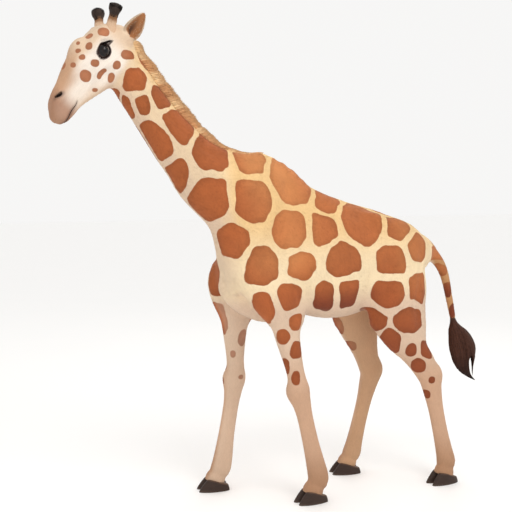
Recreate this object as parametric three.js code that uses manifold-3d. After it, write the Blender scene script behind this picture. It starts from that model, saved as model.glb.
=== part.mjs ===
// A young giraffe, life size, walking with its neck stretched forward.
//
// The animal is described by a skeleton of named joints. Chains of oval sections run along
// the bones (trunk, neck, skull, jaw, legs, tail), and egg-shaped muscles are added over
// them. All of them melt together into one smooth body field, whose value is the distance
// to the skin. The outline of the coat is a level of that field: it is walked cell by cell
// into a closed surface, finer at the head and the feet, and thinned out where it is flat.
// Thin cuts part head, neck, trunk, tail and legs. Hooves, eyes, horn cones (ossicones),
// ears, mane and tail tuft are solids of their own.
//
// Frame: millimetres, +Z up, the face towards -Y, the animal's left side towards +X.
// The origin is on the ground below the centre of the whole box.
import * as THREE from "three";
import { mergeVertices } from "three/addons/utils/BufferGeometryUtils.js";
import Module from "manifold-3d";

const wasm = await Module();
wasm.setup();

// ---------------------------------------------------------------- driving dimensions, mm
const COAT = 6; // depth of the short body coat over the skin
const LEG_COAT = 4; // below the knees and hocks
const FACE_COAT = 4;
const GAP = 0.4; // width of the thin cuts between neighbours
const BACK_SHIFT = 108.7; // the box's centre lies this far behind the withers
const SIDE_SHIFT = 0; // and this far to the left of the middle of the body

const HEAD = { f: 1010, u: 3112, pitch: 48, yaw: 13, scale: 1.11 };
const MANE = { rise: 74, half: 18 };
const EYE = { a: 216, b: 27, c: 84, r: 48 };
const OSSICONE = { a: 66, b: 80, c: 74, length: 154, lean: 54, splay: 26, base: 37, waist: 27, knob: 42 };
const EAR = { a: 22, b: -28, c: 97, length: 172, width: 58, cup: 18, wall: 8 };
const EAR_AIM = {
  left: { tip: [-0.74, 0.22, 0.58], open: [0.75, 0.8] },
  right: { tip: [-0.84, -0.28, 0.46], open: [0.3, 0.95] }, // turned back
};
const HOOF = { length: 222, width: 150, toe: 108, heel: 40, cleft: 5, forward: 22 };
// The tuft at the end of the tail: forward, up, half depth, half width of each section.
const TUFT = [
  [-1484, 1178, 24, 22],
  [-1498, 1124, 36, 30],
  [-1516, 1088, 54, 40],
  [-1537, 1056, 78, 48],
  [-1562, 1000, 101, 55],
  [-1580, 936, 115, 58],
  [-1590, 874, 108, 54],
  [-1598, 812, 92, 46],
  [-1618, 750, 66, 34],
  [-1652, 704, 32, 20],
  [-1700, 668, 7, 7],
];
const TUFT_CUT = [-1485, 1176];
const TUFT_CLEFT = [
  [-1630, 905],
  [-1652, 800],
  [-1670, 740],
  [-1760, 722],
  [-1760, 668],
  [-1694, 676],
  [-1640, 770],
];

// ---------------------------------------------------------------- small vector tools
const V = (f, u, l = 0) => [l, -f, u]; // forward, up, left -> x, y, z
const add = (a, b, s = 1) => [a[0] + b[0] * s, a[1] + b[1] * s, a[2] + b[2] * s];
const sub = (a, b) => [a[0] - b[0], a[1] - b[1], a[2] - b[2]];
const dot = (a, b) => a[0] * b[0] + a[1] * b[1] + a[2] * b[2];
const cross = (a, b) => [a[1] * b[2] - a[2] * b[1], a[2] * b[0] - a[0] * b[2], a[0] * b[1] - a[1] * b[0]];
const len = (a) => Math.hypot(a[0], a[1], a[2]);
const unit = (a) => {
  const n = len(a) || 1;
  return [a[0] / n, a[1] / n, a[2] / n];
};
const mix = (a, b, t) => a + (b - a) * t;
const lerp = (a, b, t) => a.map((v, i) => mix(v, b[i], t));
const rad = (d) => (d * Math.PI) / 180;
const smin = (a, b, k) => {
  const h = Math.max(k - Math.abs(a - b), 0) / k;
  return Math.min(a, b) - (h * h * k) / 4;
};

// ---------------------------------------------------------------- chains of oval sections
// A station is [x, y, z, up, down, side, nUp, nDown]: its centre, the half height above and
// below it, its half width, and how square the upper and lower halves are (2 is an oval).
function smoothStations(stations, per) {
  const out = [];
  const at = (i) => stations[Math.max(0, Math.min(stations.length - 1, i))];
  for (let i = 0; i < stations.length - 1; i++)
    for (let j = 0; j < per; j++) {
      const t = j / per;
      const [p0, p1, p2, p3] = [at(i - 1), at(i), at(i + 1), at(i + 2)];
      out.push(
        p1.map((v, c) => {
          const m1 = (p2[c] - p0[c]) / 2;
          const m2 = (p3[c] - p1[c]) / 2;
          const t2 = t * t;
          const t3 = t2 * t;
          return (2 * t3 - 3 * t2 + 1) * v + (t3 - 2 * t2 + t) * m1 + (3 * t2 - 2 * t3) * p2[c] + (t3 - t2) * m2;
        }),
      );
    }
  out.push(stations[stations.length - 1]);
  return out;
}
function chain(stations, up, per = 3) {
  const full = stations.map((s) => (s.length < 7 ? [...s, 2, 2] : s));
  const st = smoothStations(full, per);
  const segs = [];
  for (let i = 0; i < st.length - 1; i++) {
    const a = st[i];
    const b = st[i + 1];
    const d = sub(b, a);
    const L = len(d);
    const T = unit(d);
    const U = unit(add(up, T, -dot(up, T)));
    const r = Math.max(a[3], a[4], a[5], b[3], b[4], b[5]);
    segs.push({ a, b, L, T, U, S: cross(T, U), mid: lerp(a.slice(0, 3), b.slice(0, 3), 0.5), R: r + L / 2 });
  }
  return { st, segs, up };
}
function chainAt(ch, p) {
  let best = 1e9;
  for (const s of ch.segs) {
    if (len(sub(p, s.mid)) - s.R > best) continue;
    const t = dot(sub(p, s.a), s.T) / s.L;
    const c = Math.max(0, Math.min(1, t));
    const along = (t - c) * s.L;
    const w = sub(p, add(s.a, s.T, c * s.L));
    const x = Math.abs(dot(w, s.S));
    const y = dot(w, s.U);
    const up = y > 0 ? mix(s.a[3], s.b[3], c) : mix(s.a[4], s.b[4], c);
    const side = mix(s.a[5], s.b[5], c);
    const n = y > 0 ? mix(s.a[6], s.b[6], c) : mix(s.a[7], s.b[7], c);
    let e = Math.pow(Math.pow(x / side, n) + Math.pow(Math.abs(y) / up, n), 1 / n);
    e = Math.hypot(e, along / Math.min(up, side));
    const l = len(w);
    const d = e > 1e-6 ? l * (1 - 1 / e) : -Math.min(up, side);
    if (d < best) best = d;
  }
  return best;
}
// An egg: centre, its long axis and a second axis, and three half lengths.
function egg(c, axis, second, r) {
  const A = unit(axis);
  const B = unit(add(second, A, -dot(second, A)));
  return { c, A, B, C: cross(A, B), r };
}
function eggAt(g, p) {
  const w = sub(p, g.c);
  const e = Math.hypot(dot(w, g.A) / g.r[0], dot(w, g.B) / g.r[1], dot(w, g.C) / g.r[2]);
  return e > 1e-6 ? len(w) * (1 - 1 / e) : -Math.min(...g.r);
}

// ---------------------------------------------------------------- trunk and neck
const UP = [0, 0, 1];
const FRONT = [0, -1, 0];
const LEFT = [1, 0, 0];
const T = (f, u, up, dn, side, nu = 1.85, nd = 2.15) => [...V(f, u), up, dn, side, nu, nd];
const trunk = chain(
  [
    T(285, 1745, 130, 130, 88),
    T(214, 1745, 350, 244, 150),
    T(120, 1740, 603, 356, 192, 1.7),
    T(0, 1730, 586, 434, 212, 1.62),
    T(-140, 1700, 481, 446, 232, 1.78),
    T(-300, 1660, 445, 390, 252, 1.8),
    T(-450, 1632, 427, 388, 260, 1.9),
    T(-600, 1632, 392, 376, 254, 1.95),
    T(-750, 1650, 340, 322, 234, 1.9),
    T(-900, 1662, 262, 262, 208, 1.8),
    T(-1050, 1660, 168, 205, 166, 1.8),
    T(-1165, 1676, 98, 140, 112, 1.9),
    T(-1225, 1692, 50, 70, 55, 2),
  ],
  UP,
);
const neck = chain(
  [
    T(180, 1930, 352, 200, 168, 1.8, 2),
    T(330, 2070, 342, 200, 154, 1.8, 2),
    T(470, 2208, 240, 198, 140, 1.85, 2),
    T(565, 2318, 184, 174, 126, 1.9, 2),
    T(656, 2425, 160, 162, 117, 1.95, 2),
    T(747, 2533, 144, 142, 107),
    T(843, 2672, 126, 136, 98),
    T(930, 2812, 114, 140, 92),
    T(990, 2925, 99, 138, 86),
    T(1030, 3030, 78, 110, 80),
  ],
  [0, 0.63, 0.776],
);

// ---------------------------------------------------------------- muscles of the trunk
const mirror = (g) => {
  const m = (v) => [-v[0], v[1], v[2]];
  return { c: m(g.c), A: m(g.A), B: m(g.B), C: m(g.C), r: g.r };
};
// forward, up, left of the centre; direction of the long axis; lean of the second axis
const both = (c, axis, r) => {
  const g = egg(c, axis, LEFT, r);
  return [g, mirror(g)];
};
const shoulderBlade = both(V(126, 1950, 128), V(150, -520, 70), [320, 72, 130]);
const breast = both(V(246, 1620, 84), V(40, -200, 10), [190, 72, 86]);
const brisket = [egg(V(130, 1376, 0), V(350, 190, 0), LEFT, [250, 92, 120])];
const haunch = both(V(-930, 1752, 118), V(-300, -110, 10), [235, 94, 146]);
const hipBone = both(V(-742, 1896, 150), V(-90, -30, 20), [92, 46, 52]);
const pinBone = both(V(-1122, 1676, 92), V(-70, -60, 0), [84, 52, 62]);
const ribs = both(V(-330, 1610, 142), V(-420, 0, 10), [330, 112, 300]);
const belly = [egg(V(-470, 1452, 0), V(-400, 0, 0), LEFT, [350, 196, 196])];
const masses = [
  ...shoulderBlade.map((g) => ({ g, k: 90 })),
  ...breast.map((g) => ({ g, k: 70 })),
  ...brisket.map((g) => ({ g, k: 90 })),
  ...haunch.map((g) => ({ g, k: 90 })),
  ...hipBone.map((g) => ({ g, k: 60 })),
  ...pinBone.map((g) => ({ g, k: 60 })),
  ...ribs.map((g) => ({ g, k: 120 })),
  ...belly.map((g) => ({ g, k: 120 })),
];

// ---------------------------------------------------------------- legs
// Half sizes along each bone: [share of the bone, front, back, side].
const FORE_SIZES = {
  arm: [
    [0, 118, 112, 62],
    [0.55, 126, 124, 70],
  ],
  forearm: [
    [0, 108, 108, 70],
    [0.3, 86, 82, 60],
    [0.68, 64, 62, 48],
    [0.88, 66, 64, 50],
  ],
  cannon: [
    [0, 82, 68, 58],
    [0.14, 68, 62, 50],
    [0.3, 54, 56, 41],
    [0.6, 52, 62, 39],
    [0.86, 58, 78, 46],
  ],
  pastern: [
    [0, 66, 80, 56],
    [0.55, 64, 64, 52],
    [1, 76, 66, 62],
    [1.6, 68, 68, 58],
  ],
};
const HIND_SIZES = {
  arm: [
    [0, 186, 172, 92],
    [0.5, 204, 184, 104],
  ],
  forearm: [
    [0, 190, 194, 92],
    [0.34, 150, 134, 76],
    [0.66, 98, 96, 60],
    [0.88, 78, 84, 52],
  ],
  cannon: [
    [0, 76, 88, 56],
    [0.14, 66, 76, 49],
    [0.34, 54, 62, 42],
    [0.62, 53, 60, 41],
    [0.86, 58, 68, 46],
  ],
  pastern: [
    [0, 66, 74, 56],
    [0.55, 62, 60, 52],
    [1, 76, 66, 62],
    [1.6, 68, 68, 58],
  ],
};
function legStations(joints, sizes) {
  const out = [];
  ["arm", "forearm", "cannon", "pastern"].forEach((bone, i) => {
    const a = joints[i];
    const b = joints[i + 1];
    for (const [t, front, back, side] of sizes[bone])
      out.push([...lerp(a, b, Math.min(t, 1)).map((v, c) => v + (t > 1 ? (b[c] - a[c]) * (t - 1) : 0)), front, back, side, 2, 2]);
  });
  return out;
}
// joints: top of the bone, elbow or stifle, knee or hock, fetlock, coronet
const LEGS = {
  foreleg_left: { sizes: FORE_SIZES, joints: [V(205, 1600, 158), V(-40, 1262, 172), V(-142, 772, 206), V(-266, 150, 236), V(-236, 78, 240)] },
  foreleg_right: { sizes: FORE_SIZES, joints: [V(226, 1600, -158), V(182, 1262, -172), V(164, 800, -206), V(274, 150, -236), V(302, 78, -240)] },
  hindleg_left: { sizes: HIND_SIZES, joints: [V(-940, 1620, 118), V(-902, 1245, 150), V(-1186, 752, 176), V(-1300, 152, 224), V(-1288, 78, 230)] },
  hindleg_right: { sizes: HIND_SIZES, joints: [V(-900, 1620, -118), V(-760, 1245, -150), V(-892, 752, -176), V(-766, 152, -224), V(-738, 78, -230)] },
};
for (const leg of Object.values(LEGS)) leg.chain = chain(legStations(leg.joints, leg.sizes), FRONT, 3);
// The point of the elbow and the point of the hock stand out behind their joints.
for (const [name, leg] of Object.entries(LEGS)) {
  const s = Math.sign(leg.joints[0][0]);
  if (name.startsWith("fore")) {
    const e = leg.joints[1];
    leg.bumps = [
      { g: egg(add(e, V(-92, 22, s * -6)), V(-60, 90, 0), LEFT, [62, 34, 40]), k: 60 },
      { g: egg(add(e, V(30, 130, s * 14)), V(150, 220, 0), LEFT, [210, 74, 120]), k: 80 },
      { g: egg(add(leg.joints[2], V(20, -6, 0)), V(0, 1, 0), LEFT, [70, 56, 60]), k: 50 },
    ];
  } else {
    const h = leg.joints[2];
    const t = lerp(leg.joints[0], leg.joints[1], 0.45);
    leg.bumps = [
      { g: egg(add(h, V(-56, 48, 0)), V(20, 90, 0), LEFT, [62, 30, 33]), k: 50 },
      { g: egg(add(h, V(16, 156, s * -2)), V(50.83, 86.12, 0), LEFT, [112, 28, 26]), k: 60 },
      { g: egg(add(t, V(-30, -10, s * 18)), V(60, 330, 0), LEFT, [300, 88, 190]), k: 90 },
      { g: egg(add(leg.joints[1], V(96, -8, s * 2)), V(-40, 60, 0), LEFT, [92, 60, 66]), k: 70 },
    ];
    // The hind leg that stands further back carries the weight: its hamstrings fill the thigh's rear edge.
    if (s > 0) leg.bumps.push({ g: egg(add(leg.joints[1], V(-84, -83, 2)), V(11.04, 99.39, 0), LEFT, [196, 62, 166]), k: 70 });
  }
}
const tailJoints = [V(-1130, 1742), V(-1217, 1703), V(-1302, 1640), V(-1372, 1560), V(-1418, 1460), V(-1450, 1330), V(-1472, 1240), V(-1488, 1168)];
const tailHalf = [70, 58, 47, 38, 31, 26, 24, 21];
const tail = chain(
  tailJoints.map((p, i) => [...p, tailHalf[i], tailHalf[i], tailHalf[i] * 0.92, 2, 2]),
  [0, 0.6, 0.8],
);

// ---------------------------------------------------------------- head, in its own frame
// a runs from the back of the skull to the lips, b up out of the forehead, c to the left.
const phi = rad(HEAD.pitch);
const psi = rad(HEAD.yaw);
const HO = V(HEAD.f, HEAD.u);
const HA = [Math.cos(phi) * Math.sin(psi), -Math.cos(phi) * Math.cos(psi), -Math.sin(phi)];
const HB = [Math.sin(phi) * Math.sin(psi), -Math.sin(phi) * Math.cos(psi), Math.cos(phi)];
const HC = cross(HB, HA).map((v) => v); // towards the animal's left
const toHead = (p) => {
  const w = sub(p, HO);
  return [dot(w, HA) / HEAD.scale, dot(w, HB) / HEAD.scale, dot(w, HC) / HEAD.scale];
};
const fromHead = (a, b, c) => add(add(add(HO, HA, a), HB, b), HC, c);
const K = (a, b, up, dn, side, nu = 2, nd = 2) => [a, b, 0, up, dn, side, nu, nd];
const skull = chain(
  [
    K(8, 6, 38, 76, 56),
    K(50, 18, 62, 96, 84),
    K(125, 24, 106, 100, 98, 2.2),
    K(205, 28, 100, 98, 100, 2.4),
    K(272, 24, 99, 92, 88, 2.2),
    K(338, 14, 111, 80, 71),
    K(404, 3, 104, 70, 59),
    K(470, -8, 92, 63, 53),
    K(532, -16, 83, 59, 54, 2.2),
    K(582, -26, 58, 50, 57, 2.4),
    K(617, -38, 42, 36, 46, 2.2),
  ],
  [0, 1, 0],
);
const jaw = chain(
  [
    K(84, -66, 60, 74, 72),
    K(146, -96, 74, 88, 80),
    K(222, -92, 64, 74, 70),
    K(305, -78, 54, 70, 56),
    K(396, -74, 42, 50, 44),
    K(490, -74, 34, 27, 38),
    K(556, -78, 30, 21, 40),
    K(596, -82, 24, 13, 34),
  ],
  [0, 1, 0],
);
const faceEggs = [
  { g: egg([262, 118, 0], [1, -0.25, 0], [0, 0, 1], [60, 46, 38]), k: 50 }, // bump between the eyes
  ...[1, -1].flatMap((s) => [
    { g: egg([196, 74, s * 76], [1, -0.1, s * -0.25], [0, 0, 1], [62, 24, 26]), k: 34 }, // brow
    { g: egg([204, -36, s * 82], [1, 0.05, s * -0.2], [0, 0, 1], [92, 22, 22]), k: 34 }, // cheek bone
    { g: egg([168, -62, s * 62], [1, 0.1, 0], [0, 0, 1], [78, 34, 60]), k: 40 }, // chewing muscle
    { g: egg([104, 72, s * 56], [-0.66, 0.75, s * 0.24], [0, 0, 1], [52, 34, 34]), k: 34 }, // root of the horn cone
    { g: egg([562, 14, s * 36], [1, -0.35, s * -0.1], [0, 0, 1], [46, 25, 24]), k: 30 }, // nostril
    { g: egg([34, -16, s * 76], [0, 0.2, s * 1], [1, 0, 0], [40, 40, 44]), k: 40 }, // root of the ear
  ]),
  { g: egg([600, -46, 0], [1, -0.5, 0], [0, 0, 1], [46, 48, 32]), k: 30 }, // upper lip
];

// ---------------------------------------------------------------- the body field
const headAt = (p) => {
  const q = toHead(p);
  let d = smin(chainAt(skull, q), chainAt(jaw, q), 44);
  for (const { g, k } of faceEggs) d = smin(d, eggAt(g, q), k);
  return d * HEAD.scale;
};
const torsoAt = (p) => {
  let d = smin(chainAt(trunk, p), chainAt(neck, p), 130);
  for (const { g, k } of masses) d = smin(d, eggAt(g, p), k);
  return smin(d, chainAt(tail, p), 60);
};
const legAt = (leg, p) => {
  let d = chainAt(leg.chain, p);
  for (const { g, k } of leg.bumps) d = smin(d, eggAt(g, p), k);
  return d;
};
const bodyAt = (p) => {
  let d = torsoAt(p);
  if (p[2] > 2450) d = smin(d, headAt(p), 60);
  if (p[2] < 2000) for (const leg of Object.values(LEGS)) d = smin(d, legAt(leg, p), 70);
  return d;
};
const coatAt = (p) => (p[2] < 700 ? LEG_COAT : p[2] < 900 ? mix(LEG_COAT, COAT, (p[2] - 700) / 200) : p[1] < -1080 ? FACE_COAT : COAT);

// ---------------------------------------------------------------- from field to surface
function solid(pos, tri) {
  const make = (t) => new wasm.Manifold(new wasm.Mesh({ numProp: 3, vertProperties: new Float32Array(pos), triVerts: new Uint32Array(t) }));
  const m = make(tri);
  if (m.volume() > 0) return m;
  const back = [];
  for (let i = 0; i < tri.length; i += 3) back.push(tri[i], tri[i + 2], tri[i + 1]);
  return make(back);
}
// The closed surface where field(p) = 0 inside the box, in cells of the given size: one
// point in each cell the surface crosses, and a four-sided face round each crossed edge.
function surfaceOf(field, lo, hi, cell, start) {
  const n = [0, 1, 2].map((i) => Math.ceil((hi[i] - lo[i]) / cell) + 2);
  const idx = (c) => (c[0] * n[1] + c[1]) * n[2] + c[2];
  const val = new Float32Array(n[0] * n[1] * n[2]).fill(NaN);
  const at = (c) => [lo[0] + (c[0] - start) * cell, lo[1] + (c[1] - start) * cell, lo[2] + (c[2] - start) * cell];
  const value = (c) => {
    const q = idx(c);
    if (Number.isNaN(val[q])) {
      const p = at(c);
      const out = Math.max(...[0, 1, 2].map((k) => Math.max(lo[k] - p[k], p[k] - hi[k]))) + cell * 0.01;
      const v = c.some((x, k) => x === 0 || x === n[k] - 1) ? cell : Math.max(field(p), out);
      val[q] = Math.abs(v) < 1e-3 ? 1e-3 : v;
    }
    return val[q];
  };
  const pos = [];
  const tri = [];
  const verts = new Map();
  const corners = Array.from({ length: 8 }, (_, q) => [q & 1, (q >> 1) & 1, (q >> 2) & 1]);
  const vertexIn = (c) => {
    const key = idx(c);
    if (verts.has(key)) return verts.get(key);
    let sum = [0, 0, 0];
    let count = 0;
    for (let q = 0; q < 8; q++)
      for (let k = 0; k < 3; k++) {
        if (corners[q][k]) continue;
        const a = c.map((x, m) => x + corners[q][m]);
        const b = a.map((x, m) => x + (m === k ? 1 : 0));
        const fa = value(a);
        const fb = value(b);
        if (fa < 0 === fb < 0) continue;
        sum = add(sum, lerp(at(a), at(b), fa / (fa - fb)));
        count++;
      }
    const id = pos.length / 3;
    pos.push(...sum.map((x) => x / count));
    verts.set(key, id);
    return id;
  };
  const B = 4;
  for (let I = 0; I < n[0] - 1; I += B)
    for (let J = 0; J < n[1] - 1; J += B)
      for (let L = 0; L < n[2] - 1; L += B) {
        const mid = field(add(at([I, J, L]), [B / 2, B / 2, B / 2], cell));
        const rim = I === 0 || J === 0 || L === 0 || I + B >= n[0] - 2 || J + B >= n[1] - 2 || L + B >= n[2] - 2;
        if (mid > cell * B * 1.8 + 40 || (mid < -cell * B * 1.5 - 30 && !rim)) continue;
        for (let i = I; i < Math.min(I + B, n[0] - 1); i++)
          for (let j = J; j < Math.min(J + B, n[1] - 1); j++)
            for (let k = L; k < Math.min(L + B, n[2] - 1); k++) {
              const c = [i, j, k];
              const f0 = value(c);
              for (let a = 0; a < 3; a++) {
                const [u, v] = [(a + 1) % 3, (a + 2) % 3];
                if (c[u] === 0 || c[v] === 0) continue;
                const d = [...c];
                d[a]++;
                if (f0 < 0 === value(d) < 0) continue;
                const cellAt = (du, dv) => {
                  const e = [...c];
                  e[u] += du;
                  e[v] += dv;
                  return vertexIn(e);
                };
                let ring = [cellAt(-1, -1), cellAt(0, -1), cellAt(0, 0), cellAt(-1, 0)];
                if (f0 > 0) ring = ring.reverse();
                const P = ring.map((id) => pos.slice(id * 3, id * 3 + 3));
                const [A, C, D, E] = ring;
                if (len(sub(P[0], P[2])) < len(sub(P[1], P[3]))) tri.push(A, C, D, A, D, E);
                else tri.push(A, C, E, C, D, E);
              }
            }
      }
  return { pos, tri };
}
// Joins short edges, cheapest first, where the surface stays closest to its own planes.
// Given a length, it joins only the edges shorter than that.
function thin({ pos: given, tri }, target, shorter = 0) {
  const pos = Float64Array.from(given);
  const nv = pos.length / 3;
  const Q = new Float64Array(nv * 10);
  const F = Int32Array.from(tri);
  let count = F.length / 3;
  const around = Array.from({ length: nv }, () => []);
  const n = [0, 0, 0];
  const normal = (ax, ay, az, bx, by, bz, cx, cy, cz) => {
    const [ux, uy, uz] = [bx - ax, by - ay, bz - az];
    const [vx, vy, vz] = [cx - ax, cy - ay, cz - az];
    n[0] = uy * vz - uz * vy;
    n[1] = uz * vx - ux * vz;
    n[2] = ux * vy - uy * vx;
    return Math.sqrt(n[0] * n[0] + n[1] * n[1] + n[2] * n[2]);
  };
  for (let f = 0; f < count; f++) {
    const [a, b, c] = [F[f * 3] * 3, F[f * 3 + 1] * 3, F[f * 3 + 2] * 3];
    const l = normal(pos[a], pos[a + 1], pos[a + 2], pos[b], pos[b + 1], pos[b + 2], pos[c], pos[c + 1], pos[c + 2]) || 1;
    const [x, y, z] = [n[0] / l, n[1] / l, n[2] / l];
    const d = -(x * pos[a] + y * pos[a + 1] + z * pos[a + 2]);
    const q = [x * x, x * y, x * z, x * d, y * y, y * z, y * d, z * z, z * d, d * d];
    for (let k = 0; k < 3; k++) {
      const v = F[f * 3 + k];
      for (let m = 0; m < 10; m++) Q[v * 10 + m] += (q[m] * l) / 2;
      around[v].push(f);
    }
  }
  const stamp = new Int32Array(nv);
  const mark = new Int32Array(nv).fill(-1);
  let tick = 0;
  const q = new Float64Array(10);
  const plan = (u, v) => {
    for (let k = 0; k < 10; k++) q[k] = Q[u * 10 + k] + Q[v * 10 + k];
    const [mx, my, mz] = [(pos[u * 3] + pos[v * 3]) / 2, (pos[u * 3 + 1] + pos[v * 3 + 1]) / 2, (pos[u * 3 + 2] + pos[v * 3 + 2]) / 2];
    const L2 = (pos[u * 3] - pos[v * 3]) ** 2 + (pos[u * 3 + 1] - pos[v * 3 + 1]) ** 2 + (pos[u * 3 + 2] - pos[v * 3 + 2]) ** 2;
    const [a, b, c, d, e, f] = [q[0], q[1], q[2], q[4], q[5], q[7]];
    const det = a * (d * f - e * e) - b * (b * f - e * c) + c * (b * e - d * c);
    const scale = a + d + f;
    let [x, y, z] = [mx, my, mz];
    if (Math.abs(det) > 1e-4 * scale ** 3) {
      const [r, s, t] = [-q[3], -q[6], -q[8]];
      const X = (r * (d * f - e * e) - b * (s * f - e * t) + c * (s * e - d * t)) / det;
      const Y = (a * (s * f - e * t) - r * (b * f - e * c) + c * (b * t - s * c)) / det;
      const Z = (a * (d * t - s * e) - b * (b * t - s * c) + r * (b * e - d * c)) / det;
      if ((X - mx) ** 2 + (Y - my) ** 2 + (Z - mz) ** 2 < L2) [x, y, z] = [X, Y, Z];
    }
    const cost = q[0] * x * x + 2 * q[1] * x * y + 2 * q[2] * x * z + 2 * q[3] * x + q[4] * y * y + 2 * q[5] * y * z + 2 * q[6] * y + q[7] * z * z + 2 * q[8] * z + q[9];
    return { c: cost + 2e-5 * scale * L2, x, y, z, u, v, su: stamp[u], sv: stamp[v] };
  };
  const heap = [];
  const push = (e) => {
    let i = heap.push(e) - 1;
    while (i > 0) {
      const j = (i - 1) >> 1;
      if (heap[j].c <= e.c) break;
      heap[i] = heap[j];
      i = j;
    }
    heap[i] = e;
  };
  const pop = () => {
    const top = heap[0];
    const e = heap.pop();
    const size = heap.length;
    if (size) {
      let i = 0;
      for (;;) {
        let j = 2 * i + 1;
        if (j >= size) break;
        if (j + 1 < size && heap[j + 1].c < heap[j].c) j++;
        if (e.c <= heap[j].c) break;
        heap[i] = heap[j];
        i = j;
      }
      heap[i] = e;
    }
    return top;
  };
  const offer = (u, v) => {
    const L = Math.hypot(pos[u * 3] - pos[v * 3], pos[u * 3 + 1] - pos[v * 3 + 1], pos[u * 3 + 2] - pos[v * 3 + 2]);
    if (!shorter || L < shorter) push(plan(u, v));
  };
  for (let f = 0; f < count; f++)
    for (let k = 0; k < 3; k++) {
      const [u, v] = [F[f * 3 + k], F[f * 3 + ((k + 1) % 3)]];
      if (u < v) offer(u, v);
    }
  const near = (v) => {
    tick++;
    mark[v] = tick;
    const out = [];
    for (const f of around[v])
      for (let k = 0; k < 3; k++) {
        const w = F[f * 3 + k];
        if (mark[w] !== tick) {
          mark[w] = tick;
          out.push(w);
        }
      }
    return out;
  };
  // Would a face turn over or become a needle if its corner moved to (x, y, z)?
  const spoils = (e, x, y) => {
    for (const f of around[x]) {
      const ids = [F[f * 3], F[f * 3 + 1], F[f * 3 + 2]];
      if (ids.includes(y)) continue;
      const c = ids.map((w) => [pos[w * 3], pos[w * 3 + 1], pos[w * 3 + 2]]);
      const shape = (p) => {
        const l = normal(...p[0], ...p[1], ...p[2]);
        const far = Math.max(...[0, 1, 2].map((k) => (p[k][0] - p[(k + 1) % 3][0]) ** 2 + (p[k][1] - p[(k + 1) % 3][1]) ** 2 + (p[k][2] - p[(k + 1) % 3][2]) ** 2));
        return [n[0], n[1], n[2], l, l / far];
      };
      const a = shape(c);
      c[ids.indexOf(x)] = [e.x, e.y, e.z];
      const b = shape(c);
      if (a[0] * b[0] + a[1] * b[1] + a[2] * b[2] < 0.25 * a[3] * b[3]) return true;
      if (b[4] < 0.14 && b[4] < a[4]) return true;
    }
    return false;
  };
  while (count > target && heap.length) {
    const e = pop();
    const { u, v } = e;
    if (stamp[u] !== e.su || stamp[v] !== e.sv) continue;
    const nu = near(u);
    const set = tick;
    let shared = 0;
    let sizeV = 0;
    const seen = new Set();
    for (const f of around[v])
      for (let k = 0; k < 3; k++) {
        const w = F[f * 3 + k];
        if (w === v || seen.has(w)) continue;
        seen.add(w);
        sizeV++;
        if (mark[w] === set && w !== u) shared++;
      }
    if (shared !== 2 || (!shorter && nu.length + sizeV > 24)) continue;
    if (!shorter && (spoils(e, u, v) || spoils(e, v, u))) continue;
    for (const f of around[v]) {
      const ids = [F[f * 3], F[f * 3 + 1], F[f * 3 + 2]];
      if (ids.includes(u)) {
        for (const w of ids) if (w !== v) around[w].splice(around[w].indexOf(f), 1);
        F[f * 3] = -1;
        count--;
      } else {
        F[f * 3 + ids.indexOf(v)] = u;
        around[u].push(f);
      }
    }
    around[v] = [];
    stamp[v] = -1;
    stamp[u]++;
    for (let k = 0; k < 10; k++) Q[u * 10 + k] += Q[v * 10 + k];
    pos[u * 3] = e.x;
    pos[u * 3 + 1] = e.y;
    pos[u * 3 + 2] = e.z;
    for (const w of near(u)) offer(u, w);
  }
  const map = new Map();
  const outPos = [];
  const outTri = [];
  for (let f = 0; f < F.length / 3; f++)
    if (F[f * 3] >= 0)
      for (let k = 0; k < 3; k++) {
        const v = F[f * 3 + k];
        if (!map.has(v)) {
          map.set(v, outPos.length / 3);
          outPos.push(pos[v * 3], pos[v * 3 + 1], pos[v * 3 + 2]);
        }
        outTri.push(map.get(v));
      }
  return { pos: outPos, tri: outTri };
}
// Points near the surface are set down on it exactly; the flat ends of the box stay.
function settle(mesh, field, lo, hi, cell) {
  for (let i = 0; i < mesh.pos.length; i += 3) {
    let p = mesh.pos.slice(i, i + 3);
    if (p.some((v, k) => v < lo[k] + cell * 1.2 || v > hi[k] - cell * 1.2)) continue;
    for (let step = 0; step < 3; step++) {
      const d = field(p);
      if (Math.abs(d) > cell) break;
      const h = 2;
      const g = [0, 1, 2].map((k) => {
        const a = [...p];
        const b = [...p];
        a[k] += h;
        b[k] -= h;
        return (field(a) - field(b)) / (2 * h);
      });
      const gg = Math.max(dot(g, g), 0.25);
      p = add(p, g, -d / gg);
    }
    if (len(sub(p, mesh.pos.slice(i, i + 3))) < cell * 0.5) for (let k = 0; k < 3; k++) mesh.pos[i + k] = p[k];
  }
  return mesh;
}
function fleshIn(field, lo, hi, cell, target) {
  // where two folds meet inside one cell the cells are moved a little and walked again
  for (const start of [0.5, 0.31, 0.77, 0.12, 0.93]) {
    const fine = surfaceOf(field, lo, hi, cell, start);
    try {
      solid(fine.pos, fine.tri);
    } catch {
      continue;
    }
    const m = settle(thin(fine, target), field, lo, hi, cell);
    return solid(m.pos, m.tri);
  }
  throw new Error("no closed surface");
}
const coat = (field) => (p) => field(p) - coatAt(p);

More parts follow.
